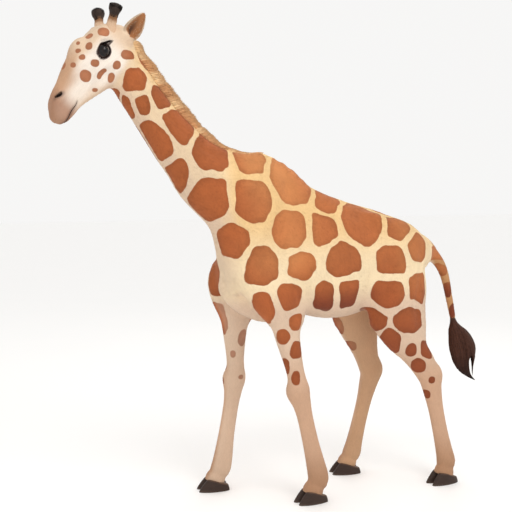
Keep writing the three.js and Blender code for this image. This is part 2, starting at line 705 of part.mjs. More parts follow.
// ---------------------------------------------------------------- cutting planes
// A half space as a big box: everything on the far side of the plane through p, along n.
const BIG = 6000;
function solidFrom(geometry, matrix) {
  const g = geometry.clone();
  g.deleteAttribute("normal");
  g.deleteAttribute("uv");
  const m = mergeVertices(g, 1e-4);
  if (matrix) m.applyMatrix4(matrix);
  return solid(Array.from(m.attributes.position.array), Array.from(m.index.array));
}
function beyond(p, n, shift = 0) {
  const N = unit(n);
  const q = new THREE.Quaternion().setFromUnitVectors(new THREE.Vector3(0, 0, 1), new THREE.Vector3(...N));
  const c = add(p, N, BIG / 2 + shift);
  const m = new THREE.Matrix4().compose(new THREE.Vector3(...c), q, new THREE.Vector3(1, 1, 1));
  return solidFrom(new THREE.BoxGeometry(BIG, BIG, BIG), m);
}
const region = (planes, grow) => planes.map(([p, n]) => beyond(p, n, -grow)).reduce((a, b) => a.intersect(b));
const biggest = (m) => m.decompose().sort((a, b) => b.volume() - a.volume())[0];
const HEAD_CUT = [[add(HO, V(-36, -150)), V(0.9, 0.436)]];
const NECK_CUT = [[V(262, 2130), V(0.94, 0.342)], [V(0, 1800), V(0, 1)]];
const TAIL_CUT = [
  [V(-1208, 1712), V(-1, -0.02)],
  [V(0, 1000), V(0, 1)],
];
const legCut = (name) => {
  const s = name.endsWith("left") ? 1 : -1;
  const [, joint] = LEGS[name].joints;
  if (name.startsWith("fore"))
    return [
      [add(joint, [s * -52, 0, 62]), V(0.1, -0.72, s * 0.7)],
      [add(joint, V(-160, 60)), V(0.98, -0.2)],
      [add(joint, V(170, 60)), V(-0.9, -0.44)],
      [[s * 24, 0, 0], [s, 0, 0]],
    ];
  return [
    [add(joint, V(250, 150)), V(-0.52, -0.85, s * 0.1)],
    [add(joint, V(262, 0)), V(-0.99, -0.14)],
    [[s * 6, 0, 0], [s, 0, 0]],
  ];
};
const legPlanes = Object.fromEntries(Object.keys(LEGS).map((n) => [n, legCut(n)]));

// ---------------------------------------------------------------- parts of flesh
const pieces = {};
const clip = (m, planes) => biggest(m.intersect(region(planes, -GAP / 2)));
const without = (m, planes) => m.subtract(region(planes, GAP / 2));
pieces.head = clip(
  fleshIn((p) => smin(headAt(p), chainAt(neck, p), 60) - FACE_COAT, add(HO, [-257, -643, -698]), add(HO, [330, 170, 190]), 11, 1380),
  HEAD_CUT,
);
const neckBlock = fleshIn(coat((p) => smin(torsoAt(p), p[2] > 2450 ? headAt(p) : 1e3, 60)), V(150, 1700, -280).map((v, i) => (i === 1 ? HO[1] - 200 : v)), [280, -150, HO[2] + 140], 22, 760);
pieces.neck = without(clip(neckBlock, NECK_CUT), HEAD_CUT);
const trunkWhole = fleshIn(coat(bodyAt), [-340, -560, 1130], [340, 1330, 2520], 26, 2150);
let trunkBlock = without(without(trunkWhole, NECK_CUT), TAIL_CUT);
for (const planes of Object.values(legPlanes)) trunkBlock = without(trunkBlock, planes);
pieces.trunk = biggest(trunkBlock);
pieces.tail = clip(fleshIn(coat(torsoAt), [-110, 1150, 1120], [110, 1540, 1850], 12, 260), TAIL_CUT);
for (const [name, leg] of Object.entries(LEGS)) {
  const s = Math.sign(leg.joints[0][0]);
  const ys = leg.joints.map((j) => j[1]);
  const lo = [s > 0 ? -30 : -380, Math.min(...ys) - 330, 30];
  const hi = [s > 0 ? 380 : 30, Math.max(...ys) + 330, name.startsWith("fore") ? 1480 : 1900];
  const own = (p) => {
    let d = legAt(leg, p);
    d = smin(d, torsoAt(p), 70);
    return d - coatAt(p);
  };
  pieces[name] = without(clip(fleshIn(own, lo, hi, 17, name.startsWith("fore") ? 620 : 760), legPlanes[name]), TAIL_CUT);
}

// ---------------------------------------------------------------- hooves
// Rings of points become one closed skin: a fan at each end and a band between rings.
function skinOf(rings) {
  const n = rings[0].length;
  const pos = [];
  const tri = [];
  for (const r of rings) for (const p of r) pos.push(...p);
  for (let i = 0; i < rings.length - 1; i++)
    for (let j = 0; j < n; j++) {
      const k = (j + 1) % n;
      const [a, b, c, d] = [i * n + j, i * n + k, (i + 1) * n + k, (i + 1) * n + j];
      if ((i + j) % 2) tri.push(a, b, c, a, c, d);
      else tri.push(a, b, d, b, c, d);
    }
  for (const [i, flip] of [
    [0, true],
    [rings.length - 1, false],
  ]) {
    const c = rings[i].reduce((s, p) => add(s, p, 1 / n), [0, 0, 0]);
    const id = pos.length / 3;
    pos.push(...c);
    for (let j = 0; j < n; j++) {
      const [a, b] = [i * n + j, i * n + ((j + 1) % n)];
      if (flip) tri.push(id, b, a);
      else tri.push(id, a, b);
    }
  }
  return solid(pos, tri);
}
// Each foot has two claws. A claw is a stack of D-shaped outlines from the flat sole up to
// the coronet, a plane that falls from the toe to the heel.
const coronet = (f) => mix(HOOF.heel, HOOF.toe, (f + HOOF.length / 2) / HOOF.length);
function claw(side, rows = 4, steps = 14) {
  const rings = [];
  for (let i = 0; i <= rows; i++) {
    const t = i / rows;
    const L = mix(HOOF.length, HOOF.length - 52, t);
    const W = mix(HOOF.width, HOOF.width - 14, t) / 2;
    const ring = [];
    for (let j = 0; j < steps; j++) {
      const w = (2 * Math.PI * (j + 0.5)) / steps;
      const y = Math.cos(w);
      const x = Math.sin(w);
      const f = (y * L) / 2 - (y > 0 ? 34 * t * y : -8 * t * y) - 8 * t;
      const round = y > 0 ? 1 - 0.34 * y * y : 1 - 0.12 * y * y;
      const l = HOOF.cleft / 2 + (W - HOOF.cleft / 2) * (0.5 + 0.5 * Math.sign(x) * Math.pow(Math.abs(x), 0.62) * round) + (y > 0 ? -3 * y : 0);
      ring.push([Math.max(l, HOOF.cleft / 2) * side, -f, t * coronet(f)]);
    }
    rings.push(ring);
  }
  return skinOf(rings);
}
const hooves = {};
for (const [name, leg] of Object.entries(LEGS)) {
  const c = leg.joints[4];
  const s = Math.sign(c[0]);
  const foot = [c[0], c[1] - HOOF.forward, 0];
  const turn = s * (name.startsWith("fore") ? 5 : 7); // toes a little outwards, in degrees
  for (const side of [1, -1])
    hooves[`hoof_${name.replace("leg", "")}_${side * s > 0 ? "outer" : "inner"}`] = claw(side).rotate([0, 0, turn]).translate(foot);
  const slope = (HOOF.toe - HOOF.heel) / HOOF.length;
  const n = unit([Math.sin(rad(turn)) * -slope, Math.cos(rad(turn)) * slope, 1]);
  pieces[name] = biggest(pieces[name].intersect(beyond(add(foot, [0, 0, coronet(0)]), n, GAP)));
}

// ---------------------------------------------------------------- eyes, horn cones, ears
const frameAt = (c, x, y, z) => new THREE.Matrix4().makeBasis(new THREE.Vector3(...x), new THREE.Vector3(...y), new THREE.Vector3(...z)).setPosition(...c);
const extras = {};
const skinless = pieces.head;
let headCut = pieces.head;
for (const [word, s] of [
  ["left", 1],
  ["right", -1],
]) {
  // eyeball
  const ec = fromHead(EYE.a, EYE.b, s * EYE.c);
  const ball = (r) => solidFrom(new THREE.SphereGeometry(r, 14, 9), frameAt(ec, HA, HB, HC));
  extras["eye_" + word] = ball(EYE.r);
  headCut = headCut.subtract(ball(EYE.r + GAP));
  // horn cone: a lathe, narrow in the middle with a knob at the end
  const lean = rad(OSSICONE.lean);
  const dir = unit(add(add(HA.map((v) => -v * Math.sin(lean)), HB, Math.cos(lean)), HC, Math.sin(rad(OSSICONE.splay)) * s));
  const sideways = unit(cross(dir, HA));
  const third = cross(dir, sideways);
  const L = OSSICONE.length;
  const profile = [
    [0, -40],
    [OSSICONE.base * 1.2, -40],
    [OSSICONE.base * 1.05, 0],
    [mix(OSSICONE.base, OSSICONE.waist, 0.6), L * 0.22],
    [OSSICONE.waist + 1, L * 0.45],
    [OSSICONE.waist + 3, L * 0.62],
    [OSSICONE.knob - 2, L * 0.78],
    [OSSICONE.knob, L * 0.88],
    [OSSICONE.knob * 0.72, L * 0.98],
    [0, L + 4],
  ].map(([x, y]) => new THREE.Vector2(x, y));
  const oc = fromHead(OSSICONE.a, OSSICONE.b, s * OSSICONE.c);
  const cone = solidFrom(new THREE.LatheGeometry(profile, 12), frameAt(oc, sideways, dir, third));
  extras["ossicone_" + word] = biggest(cone.subtract(skinless)).translate(dir.map((v) => v * GAP * 2.5));
  // ear: a leaf curled about its long axis; both faces are swept from the same middle surface
  const root = fromHead(EAR.a, EAR.b, s * EAR.c);
  const aim = EAR_AIM[word];
  const tip = unit(add(add(HA.map((v) => v * aim.tip[0]), HB, aim.tip[1]), HC, s * aim.tip[2]));
  const toward = add(HA.map((v) => v * aim.open[0]), HC, s * aim.open[1]);
  const open = unit(add(toward, tip, -dot(toward, tip))); // the side the hollow faces
  const across = cross(tip, open);
  const rows = 8;
  const cols = 6;
  const sheet = (offset) => {
    const out = [];
    for (let i = 0; i <= rows; i++) {
      const t = i / rows;
      const half = EAR.width * Math.pow(Math.sin(Math.PI * (0.16 + 0.8 * t)), 0.6);
      const row = [];
      for (let j = 0; j <= cols; j++) {
        const u = (j / cols) * 2 - 1;
        const wrap = mix(1.55, 0.8, Math.pow(t, 0.7));
        const R = half / Math.max(Math.sin(wrap), 0.9);
        const x = R * Math.sin(wrap * u);
        const z = -EAR.cup * (1 - 0.4 * t) + R * (1 - Math.cos(wrap * u)) + offset * (1 - 0.7 * u * u) * (1 - 0.45 * t);
        row.push(add(add(add(root, tip, -26 + t * (EAR.length + 26)), across, x), open, z));
      }
      out.push(row);
    }
    return out;
  };
  const inner = sheet(EAR.wall / 2);
  const outer = sheet(-EAR.wall / 2);
  const leaf = skinOf(inner.map((row, i) => [...row, ...outer[i].slice().reverse()]));
  extras["ear_" + word] = biggest(leaf.subtract(skinless)).translate(tip.map((v) => v * GAP * 1.5));
}
pieces.head = biggest(headCut);

// ---------------------------------------------------------------- mane and tail tuft
// From c along v out to where field(p) is zero.
function reach(field, c, v, limit) {
  let lo = 0;
  let hi = limit;
  for (let r = 0; r <= limit; r += 8)
    if (field(add(c, v, r)) > 0) {
      hi = r;
      lo = Math.max(0, r - 8);
      break;
    }
  for (let j = 0; j < 12; j++) {
    const m = (lo + hi) / 2;
    if (field(add(c, v, m)) > 0) hi = m;
    else lo = m;
  }
  return (lo + hi) / 2;
}
// The mane is a low upright brush along the crest, from the poll to the withers.
const bodyCoat = coat((p) => smin(torsoAt(p), p[2] > 2450 ? headAt(p) : 1e3, 60));
const crestLine = neck.st.filter((_, i) => i >= 3 && (i % 2 || i > 22));
const maneUp = [0, 0.63, 0.776];
const maneRings = crestLine.map((s, i) => {
  const t = i / (crestLine.length - 1);
  const a = crestLine[Math.max(0, i - 1)];
  const b = crestLine[Math.min(crestLine.length - 1, i + 1)];
  const tan = unit(sub(b, a));
  const U = unit(add(maneUp, tan, -dot(maneUp, tan)));
  const base = reach(bodyCoat, s.slice(0, 3), U, 700);
  const rise = MANE.rise * Math.pow(Math.sin(Math.PI * mix(0.04, 0.86, t)), 0.5) * mix(0.62, 1, t) * (1 + 0.28 * Math.sin(Math.PI * t));
  return [
    [-1, -24],
    [1, -24],
    [1.05, rise * 0.4],
    [0.75, rise * 0.85],
    [0, rise],
    [-0.75, rise * 0.85],
    [-1.05, rise * 0.4],
  ].map(([x, y]) => add(add(s.slice(0, 3), U, base + y), LEFT, x * MANE.half));
});
let mane = skinOf(maneRings);
for (const under of [neckBlock, trunkWhole, skinless]) mane = mane.subtract(under);
extras.mane = biggest(mane).translate(V(-0.63 * GAP, 0.776 * GAP));

const tuftChain = chain(
  TUFT.map(([f, u, deep, wide]) => [...V(f, u), deep, deep, wide, 2, 2]),
  FRONT,
);
const tuft = fleshIn((p) => chainAt(tuftChain, p), [-90, 1330, 600], [90, 1760, 1330], 12, 260);
const dock = [V(TUFT_CUT[0], TUFT_CUT[1]), V(-0.3, -0.95)];
pieces.tail = biggest(pieces.tail.subtract(beyond(...dock, -GAP)));
// Near its end the tuft is parted into a long point and a shorter one behind it.
const cleft = new THREE.Shape(TUFT_CLEFT.map(([f, u]) => new THREE.Vector2(-f, u)));
const wedge = solidFrom(
  new THREE.ExtrudeGeometry(cleft, { depth: 240, bevelEnabled: false }),
  new THREE.Matrix4().makeBasis(new THREE.Vector3(0, 1, 0), new THREE.Vector3(0, 0, 1), new THREE.Vector3(1, 0, 0)).setPosition(-120, 0, 0),
);
extras.tail_tuft = biggest(tuft.intersect(beyond(...dock)).subtract(wedge));

// Cuts leave specks of edges where planes cross corners: those are joined up.
function tidy(m) {
  const mesh = m.getMesh();
  const t = thin({ pos: Array.from(mesh.vertProperties), tri: Array.from(mesh.triVerts) }, 0, 0.5);
  return solid(t.pos, t.tri);
}

// ---------------------------------------------------------------- scene graph
const HIDE = new THREE.MeshStandardMaterial({ name: "hide", color: 0xe3c08f, roughness: 0.85, metalness: 0 });
const SOCK = new THREE.MeshStandardMaterial({ name: "leg_hide", color: 0xcfae8c, roughness: 0.85, metalness: 0 });
const HORN = new THREE.MeshStandardMaterial({ name: "horn", color: 0x3a2a22, roughness: 0.5, metalness: 0 });
const DARK = new THREE.MeshStandardMaterial({ name: "dark_hair", color: 0x2c1a14, roughness: 0.7, metalness: 0 });
const BRUSH = new THREE.MeshStandardMaterial({ name: "mane_hair", color: 0xb9703c, roughness: 0.8, metalness: 0 });
const EYES = new THREE.MeshStandardMaterial({ name: "eye", color: 0x120c09, roughness: 0.08, metalness: 0 });
const materialOf = (name) =>
  name.startsWith("hoof")
    ? HORN
    : name.startsWith("eye")
      ? EYES
      : name === "tail_tuft"
        ? DARK
        : name === "mane"
          ? BRUSH
          : name.startsWith("ossicone")
            ? HIDE
            : name.includes("leg")
              ? SOCK
              : HIDE;

const giraffe = new THREE.Group();
giraffe.name = "giraffe";
giraffe.position.set(-SIDE_SHIFT, -BACK_SHIFT, 0);
for (const [name, m] of Object.entries({ ...pieces, ...hooves, ...extras })) {
  const mesh = tidy(m).getMesh();
  const n = mesh.numProp;
  const pos = new Float32Array((mesh.vertProperties.length / n) * 3);
  for (let i = 0; i < pos.length / 3; i++) pos.set(mesh.vertProperties.subarray(i * n, i * n + 3), i * 3);
  const g = new THREE.BufferGeometry();
  g.setAttribute("position", new THREE.BufferAttribute(pos, 3));
  g.setIndex(new THREE.BufferAttribute(new Uint32Array(mesh.triVerts), 1));
  g.computeVertexNormals();
  const node = new THREE.Mesh(g, materialOf(name));
  node.name = name;
  giraffe.add(node);
}

export default giraffe;
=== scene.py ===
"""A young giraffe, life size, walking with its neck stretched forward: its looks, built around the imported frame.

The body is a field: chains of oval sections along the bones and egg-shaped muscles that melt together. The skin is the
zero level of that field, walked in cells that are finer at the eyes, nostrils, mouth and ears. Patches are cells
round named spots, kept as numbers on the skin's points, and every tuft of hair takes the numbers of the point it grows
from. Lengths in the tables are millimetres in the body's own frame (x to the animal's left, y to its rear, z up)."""

import math
from concurrent.futures import ThreadPoolExecutor
import bpy
import numpy as np
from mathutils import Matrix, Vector
from mathutils.bvhtree import BVHTree


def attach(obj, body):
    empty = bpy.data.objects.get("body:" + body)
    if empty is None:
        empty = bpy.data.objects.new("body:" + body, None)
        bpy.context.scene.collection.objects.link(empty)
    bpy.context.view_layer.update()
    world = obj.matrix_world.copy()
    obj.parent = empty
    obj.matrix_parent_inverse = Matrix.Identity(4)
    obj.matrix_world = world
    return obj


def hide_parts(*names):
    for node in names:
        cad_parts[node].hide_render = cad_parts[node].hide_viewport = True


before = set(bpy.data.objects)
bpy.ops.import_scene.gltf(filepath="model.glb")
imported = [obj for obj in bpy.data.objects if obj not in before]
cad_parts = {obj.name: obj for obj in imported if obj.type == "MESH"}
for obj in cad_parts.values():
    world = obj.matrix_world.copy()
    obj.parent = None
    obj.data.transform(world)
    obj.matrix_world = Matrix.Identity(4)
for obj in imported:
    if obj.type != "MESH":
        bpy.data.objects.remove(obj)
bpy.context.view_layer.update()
rng = np.random.default_rng(20240607)

# ------------------------------------------------------------------ sizes
BACK_SHIFT = 108.7  # the withers lie this far in front of the box's middle
HEAD_F, HEAD_U, HEAD_PITCH, HEAD_YAW, HEAD_SCALE = 1010, 3112, 48, 13, 1.11
EYE = dict(a=216, b=27, c=84, r=48)
OSSICONE = dict(a=66, b=80, c=74, length=154, lean=54, splay=26, base=37, waist=27, knob=42)
EAR = dict(a=22, b=-28, c=97, length=172, width=58, cup=18, wall=8, tip=(-0.74, 0.22, 0.58), open=(0.75, 0.8), tip_right=(-0.84, -0.28, 0.46), open_right=(0.3, 0.95))
HOOF = dict(length=222, width=150, toe=108, heel=40, cleft=5, forward=22)
FACE_COAT, LEG_COAT, COAT = 4, 4, 6

# ------------------------------------------------------------------ the body in numbers
# A station of a chain: x, y, z, half height above and below, half width, squareness above and below.
STATIONS = {
    "trunk": [
        (0, -285, 1745, 130, 130, 88, 1.85, 2.15),
        (0, -214, 1745, 350, 244, 150, 1.85, 2.15),
        (0, -120, 1740, 603, 356, 192, 1.7, 2.15),
        (0, 0, 1730, 586, 434, 212, 1.62, 2.15),
        (0, 140, 1700, 481, 446, 232, 1.78, 2.15),
        (0, 300, 1660, 445, 390, 252, 1.8, 2.15),
        (0, 450, 1632, 427, 388, 260, 1.9, 2.15),
        (0, 600, 1632, 392, 376, 254, 1.95, 2.15),
        (0, 750, 1650, 340, 322, 234, 1.9, 2.15),
        (0, 900, 1662, 262, 262, 208, 1.8, 2.15),
        (0, 1050, 1660, 168, 205, 166, 1.8, 2.15),
        (0, 1165, 1676, 98, 140, 112, 1.9, 2.15),
        (0, 1225, 1692, 50, 70, 55, 2, 2.15),
    ],
    "neck": [
        (0, -180, 1930, 352, 200, 168, 1.8, 2),
        (0, -330, 2070, 342, 200, 154, 1.8, 2),
        (0, -470, 2208, 240, 198, 140, 1.85, 2),
        (0, -565, 2318, 184, 174, 126, 1.9, 2),
        (0, -656, 2425, 160, 162, 117, 1.95, 2),
        (0, -747, 2533, 144, 142, 107, 1.85, 2.15),
        (0, -843, 2672, 126, 136, 98, 1.85, 2.15),
        (0, -930, 2812, 114, 140, 92, 1.85, 2.15),
        (0, -990, 2925, 99, 138, 86, 1.85, 2.15),
        (0, -1030, 3030, 78, 110, 80, 1.85, 2.15),
    ],
    "tail": [
        (0, 1130, 1742, 70, 70, 64.4, 2, 2),
        (0, 1217, 1703, 58, 58, 53.36, 2, 2),
        (0, 1302, 1640, 47, 47, 43.24, 2, 2),
        (0, 1372, 1560, 38, 38, 34.96, 2, 2),
        (0, 1418, 1460, 31, 31, 28.52, 2, 2),
        (0, 1450, 1330, 26, 26, 23.92, 2, 2),
        (0, 1472, 1240, 24, 24, 22.08, 2, 2),
        (0, 1488, 1168, 21, 21, 19.32, 2, 2),
    ],
    "skull": [
        (8, 6, 0, 38, 76, 56, 2, 2),
        (50, 18, 0, 62, 96, 84, 2, 2),
        (125, 24, 0, 106, 100, 98, 2.2, 2),
        (205, 28, 0, 100, 98, 100, 2.4, 2),
        (272, 24, 0, 99, 92, 88, 2.2, 2),
        (338, 14, 0, 111, 80, 71, 2, 2),
        (404, 3, 0, 104, 70, 59, 2, 2),
        (470, -8, 0, 92, 63, 53, 2, 2),
        (532, -16, 0, 83, 59, 54, 2.2, 2),
        (582, -26, 0, 58, 50, 57, 2.4, 2),
        (617, -38, 0, 42, 36, 46, 2.2, 2),
    ],
    "jaw": [
        (84, -66, 0, 60, 74, 72, 2, 2),
        (146, -96, 0, 74, 88, 80, 2, 2),
        (222, -92, 0, 64, 74, 70, 2, 2),
        (305, -78, 0, 54, 70, 56, 2, 2),
        (396, -74, 0, 42, 50, 44, 2, 2),
        (490, -74, 0, 34, 27, 38, 2, 2),
        (556, -78, 0, 30, 21, 40, 2, 2),
        (596, -82, 0, 24, 13, 34, 2, 2),
    ],
    "foreleg_left": [
        (158, -205, 1600, 118, 112, 62, 2, 2),
        (165.7, -70.25, 1414.1, 126, 124, 70, 2, 2),
        (172, 40, 1262, 108, 108, 70, 2, 2),
        (182.2, 70.6, 1115, 86, 82, 60, 2, 2),
        (195.12, 109.36, 928.8, 64, 62, 48, 2, 2),
        (201.92, 129.76, 830.8, 66, 64, 50, 2, 2),
        (206, 142, 772, 82, 68, 58, 2, 2),
        (210.2, 159.36, 684.92, 68, 62, 50, 2, 2),
        (215, 179.2, 585.4, 54, 56, 41, 2, 2),
        (224, 216.4, 398.8, 52, 62, 39, 2, 2),
        (231.8, 248.64, 237.08, 58, 78, 46, 2, 2),
        (236, 266, 150, 66, 80, 56, 2, 2),
        (238.2, 249.5, 110.4, 64, 64, 52, 2, 2),
        (240, 236, 78, 76, 66, 62, 2, 2),
        (242.4, 218, 34.8, 68, 68, 58, 2, 2),
    ],
    "foreleg_right": [
        (-158, -226, 1600, 118, 112, 62, 2, 2),
        (-165.7, -201.8, 1414.1, 126, 124, 70, 2, 2),
        (-172, -182, 1262, 108, 108, 70, 2, 2),
        (-182.2, -176.6, 1123.4, 86, 82, 60, 2, 2),
        (-195.12, -169.76, 947.84, 64, 62, 48, 2, 2),
        (-201.92, -166.16, 855.44, 66, 64, 50, 2, 2),
        (-206, -164, 800, 82, 68, 58, 2, 2),
        (-210.2, -179.4, 709, 68, 62, 50, 2, 2),
        (-215, -197, 605, 54, 56, 41, 2, 2),
        (-224, -230, 410, 52, 62, 39, 2, 2),
        (-231.8, -258.6, 241, 58, 78, 46, 2, 2),
        (-236, -274, 150, 66, 80, 56, 2, 2),
        (-238.2, -289.4, 110.4, 64, 64, 52, 2, 2),
        (-240, -302, 78, 76, 66, 62, 2, 2),
        (-242.4, -318.8, 34.8, 68, 68, 58, 2, 2),
    ],
    "hindleg_left": [
        (118, 940, 1620, 186, 172, 92, 2, 2),
        (134, 921, 1432.5, 204, 184, 104, 2, 2),
        (150, 902, 1245, 190, 194, 92, 2, 2),
        (158.84, 998.56, 1077.38, 150, 134, 76, 2, 2),
        (167.16, 1089.44, 919.62, 98, 96, 60, 2, 2),
        (172.88, 1151.92, 811.16, 78, 84, 52, 2, 2),
        (176, 1186, 752, 76, 88, 56, 2, 2),
        (182.72, 1201.96, 668, 66, 76, 49, 2, 2),
        (192.32, 1224.76, 548, 54, 62, 42, 2, 2),
        (205.76, 1256.68, 380, 53, 60, 41, 2, 2),
        (217.28, 1284.04, 236, 58, 68, 46, 2, 2),
        (224, 1300, 152, 66, 74, 56, 2, 2),
        (227.3, 1293.4, 111.3, 62, 60, 52, 2, 2),
        (230, 1288, 78, 76, 66, 62, 2, 2),
        (233.6, 1280.8, 33.6, 68, 68, 58, 2, 2),
    ],
    "hindleg_right": [
        (-118, 900, 1620, 186, 172, 92, 2, 2),
        (-134, 830, 1432.5, 204, 184, 104, 2, 2),
        (-150, 760, 1245, 190, 194, 92, 2, 2),
        (-158.84, 804.88, 1077.38, 150, 134, 76, 2, 2),
        (-167.16, 847.12, 919.62, 98, 96, 60, 2, 2),
        (-172.88, 876.16, 811.16, 78, 84, 52, 2, 2),
        (-176, 892, 752, 76, 88, 56, 2, 2),
        (-182.72, 874.36, 668, 66, 76, 49, 2, 2),
        (-192.32, 849.16, 548, 54, 62, 42, 2, 2),
        (-205.76, 813.88, 380, 53, 60, 41, 2, 2),
        (-217.28, 783.64, 236, 58, 68, 46, 2, 2),
        (-224, 766, 152, 66, 74, 56, 2, 2),
        (-227.3, 750.6, 111.3, 62, 60, 52, 2, 2),
        (-230, 738, 78, 76, 66, 62, 2, 2),
        (-233.6, 721.2, 33.6, 68, 68, 58, 2, 2),
    ],
}
# A muscle: centre, long axis, second axis, three half lengths, how softly it melts in.
EGGS = {
    "torso": [
        ((128, -126, 1950), (0.1283, -0.2749, -0.9529), (0.9917, 0.0355, 0.1232), (320, 72, 130), 90),
        ((-128, -126, 1950), (-0.1283, -0.2749, -0.9529), (-0.9917, 0.0355, 0.1232), (320, 72, 130), 90),
        ((84, -246, 1620), (0.049, -0.1959, -0.9794), (0.9988, 0.0096, 0.048), (190, 72, 86), 70),
        ((-84, -246, 1620), (-0.049, -0.1959, -0.9794), (-0.9988, 0.0096, 0.048), (190, 72, 86), 70),
        ((0, -130, 1376), (0, -0.8789, 0.4771), (1, 0, 0), (250, 92, 120), 90),
        ((118, 930, 1752), (0.0313, 0.9384, -0.3441), (0.9995, -0.0294, 0.0108), (235, 94, 146), 90),
        ((-118, 930, 1752), (-0.0313, 0.9384, -0.3441), (-0.9995, -0.0294, 0.0108), (235, 94, 146), 90),
        ((150, 742, 1896), (0.2063, 0.9283, -0.3094), (0.9785, -0.1957, 0.0652), (92, 46, 52), 60),
        ((-150, 742, 1896), (-0.2063, 0.9283, -0.3094), (-0.9785, -0.1957, 0.0652), (92, 46, 52), 60),
        ((92, 1122, 1676), (0, 0.7593, -0.6508), (1, 0, 0), (84, 52, 62), 60),
        ((-92, 1122, 1676), (0, 0.7593, -0.6508), (-1, 0, 0), (84, 52, 62), 60),
        ((142, 330, 1610), (0.0238, 0.9997, 0), (0.9997, -0.0238, 0), (330, 112, 300), 120),
        ((-142, 330, 1610), (-0.0238, 0.9997, 0), (-0.9997, -0.0238, 0), (330, 112, 300), 120),
        ((0, 470, 1452), (0, 1, 0), (1, 0, 0), (350, 196, 196), 120),
    ],
    "face": [
        ((262, 118, 0), (0.9701, -0.2425, 0), (0, 0, 1), (60, 46, 38), 50),
        ((196, 74, 76), (0.9656, -0.0966, -0.2414), (0.2402, -0.024, 0.9704), (62, 24, 26), 34),
        ((204, -36, 82), (0.9794, 0.049, -0.1959), (0.1956, 0.0098, 0.9806), (92, 22, 22), 34),
        ((168, -62, 62), (0.995, 0.0995, 0), (0, 0, 1), (78, 34, 60), 40),
        ((104, 72, 56), (-0.6423, 0.7299, 0.2336), (0.1543, -0.1754, 0.9723), (52, 34, 34), 34),
        ((562, 14, 36), (0.9397, -0.3289, -0.094), (0.0887, -0.031, 0.9956), (46, 25, 24), 30),
        ((34, -16, 76), (0, 0.1961, 0.9806), (1, 0, 0), (40, 40, 44), 40),
        ((196, 74, -76), (0.9656, -0.0966, 0.2414), (-0.2402, 0.024, 0.9704), (62, 24, 26), 34),
        ((204, -36, -82), (0.9794, 0.049, 0.1959), (-0.1956, -0.0098, 0.9806), (92, 22, 22), 34),
        ((168, -62, -62), (0.995, 0.0995, 0), (0, 0, 1), (78, 34, 60), 40),
        ((104, 72, -56), (-0.6423, 0.7299, -0.2336), (-0.1543, 0.1754, 0.9723), (52, 34, 34), 34),
        ((562, 14, -36), (0.9397, -0.3289, 0.094), (-0.0887, 0.031, 0.9956), (46, 25, 24), 30),
        ((34, -16, -76), (0, 0.1961, -0.9806), (1, 0, 0), (40, 40, 44), 40),
        ((600, -46, 0), (0.8944, -0.4472, 0), (0, 0, 1), (46, 48, 32), 30),
    ],
    "foreleg_left": [
        ((166, 132, 1284), (0, 0.5547, 0.832), (1, 0, 0), (62, 34, 40), 60),
        ((186, 10, 1392), (0, -0.5633, 0.8262), (1, 0, 0), (210, 74, 120), 80),
        ((206, 122, 766), (0, 0, 1), (1, 0, 0), (70, 56, 60), 50),
    ],
    "foreleg_right": [
        ((-166, -90, 1284), (0, 0.5547, 0.832), (1, 0, 0), (62, 34, 40), 60),
        ((-186, -212, 1392), (0, -0.5633, 0.8262), (1, 0, 0), (210, 74, 120), 80),
        ((-206, -184, 794), (0, 0, 1), (1, 0, 0), (70, 56, 60), 50),
    ],
    "hindleg_left": [
        ((176, 1242, 800), (0, -0.2169, 0.9762), (1, 0, 0), (62, 30, 33), 50),
        ((174, 1170, 908), (0, -0.5083, 0.8612), (1, 0, 0), (112, 28, 26), 60),
        ((150.4, 952.9, 1441.25), (0, -0.1789, 0.9839), (1, 0, 0), (300, 88, 190), 90),
        ((152, 806, 1237), (0, 0.5547, 0.832), (1, 0, 0), (92, 60, 66), 70),
        ((152, 986, 1162), (0, -0.1104, 0.9939), (1, 0, 0), (196, 62, 166), 70),
    ],
    "hindleg_right": [
        ((-176, 948, 800), (0, -0.2169, 0.9762), (1, 0, 0), (62, 30, 33), 50),
        ((-174, 876, 908), (0, -0.5083, 0.8612), (1, 0, 0), (112, 28, 26), 60),
        ((-150.4, 867, 1441.25), (0, -0.1789, 0.9839), (1, 0, 0), (300, 88, 190), 90),
        ((-152, 664, 1237), (0, 0.5547, 0.832), (1, 0, 0), (92, 60, 66), 70),
    ],
}
# Joints of each leg: top of the bone, elbow or stifle, knee or hock, fetlock, coronet.
JOINTS = {
    "foreleg_left": [(158, -205, 1600), (172, 40, 1262), (206, 142, 772), (236, 266, 150), (240, 236, 78)],
    "foreleg_right": [(-158, -226, 1600), (-172, -182, 1262), (-206, -164, 800), (-236, -274, 150), (-240, -302, 78)],
    "hindleg_left": [(118, 940, 1620), (150, 902, 1245), (176, 1186, 752), (224, 1300, 152), (230, 1288, 78)],
    "hindleg_right": [(-118, 900, 1620), (-150, 760, 1245), (-176, 892, 752), (-224, 766, 152), (-230, 738, 78)],
}

# ------------------------------------------------------------------ small tools
def V(f, u, l=0.0):
    """Forward, up, left of the withers' foot, as x, y, z."""
    return np.array([l, -f, u], float)


def unit(v):
    v = np.asarray(v, float)
    return v / np.maximum(np.linalg.norm(v, axis=-1, keepdims=True), 1e-9)


def clamp01(x):
    return np.clip(x, 0.0, 1.0)


def smooth(x, a, b):
    t = clamp01((x - a) / (b - a))
    return t * t * (3 - 2 * t)


def smin(a, b, k):
    h = np.maximum(k - np.abs(a - b), 0) / k
    return np.minimum(a, b) - h * h * k / 4


def smax(a, b, k):
    return -smin(-a, -b, k)


def to_frame(p):
    """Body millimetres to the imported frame's metres."""
    q = np.array(p, float)
    q[..., 1] -= BACK_SHIFT
    return q / 1000


# ------------------------------------------------------------------ chains, muscles and the head's frame
FAR = 260.0


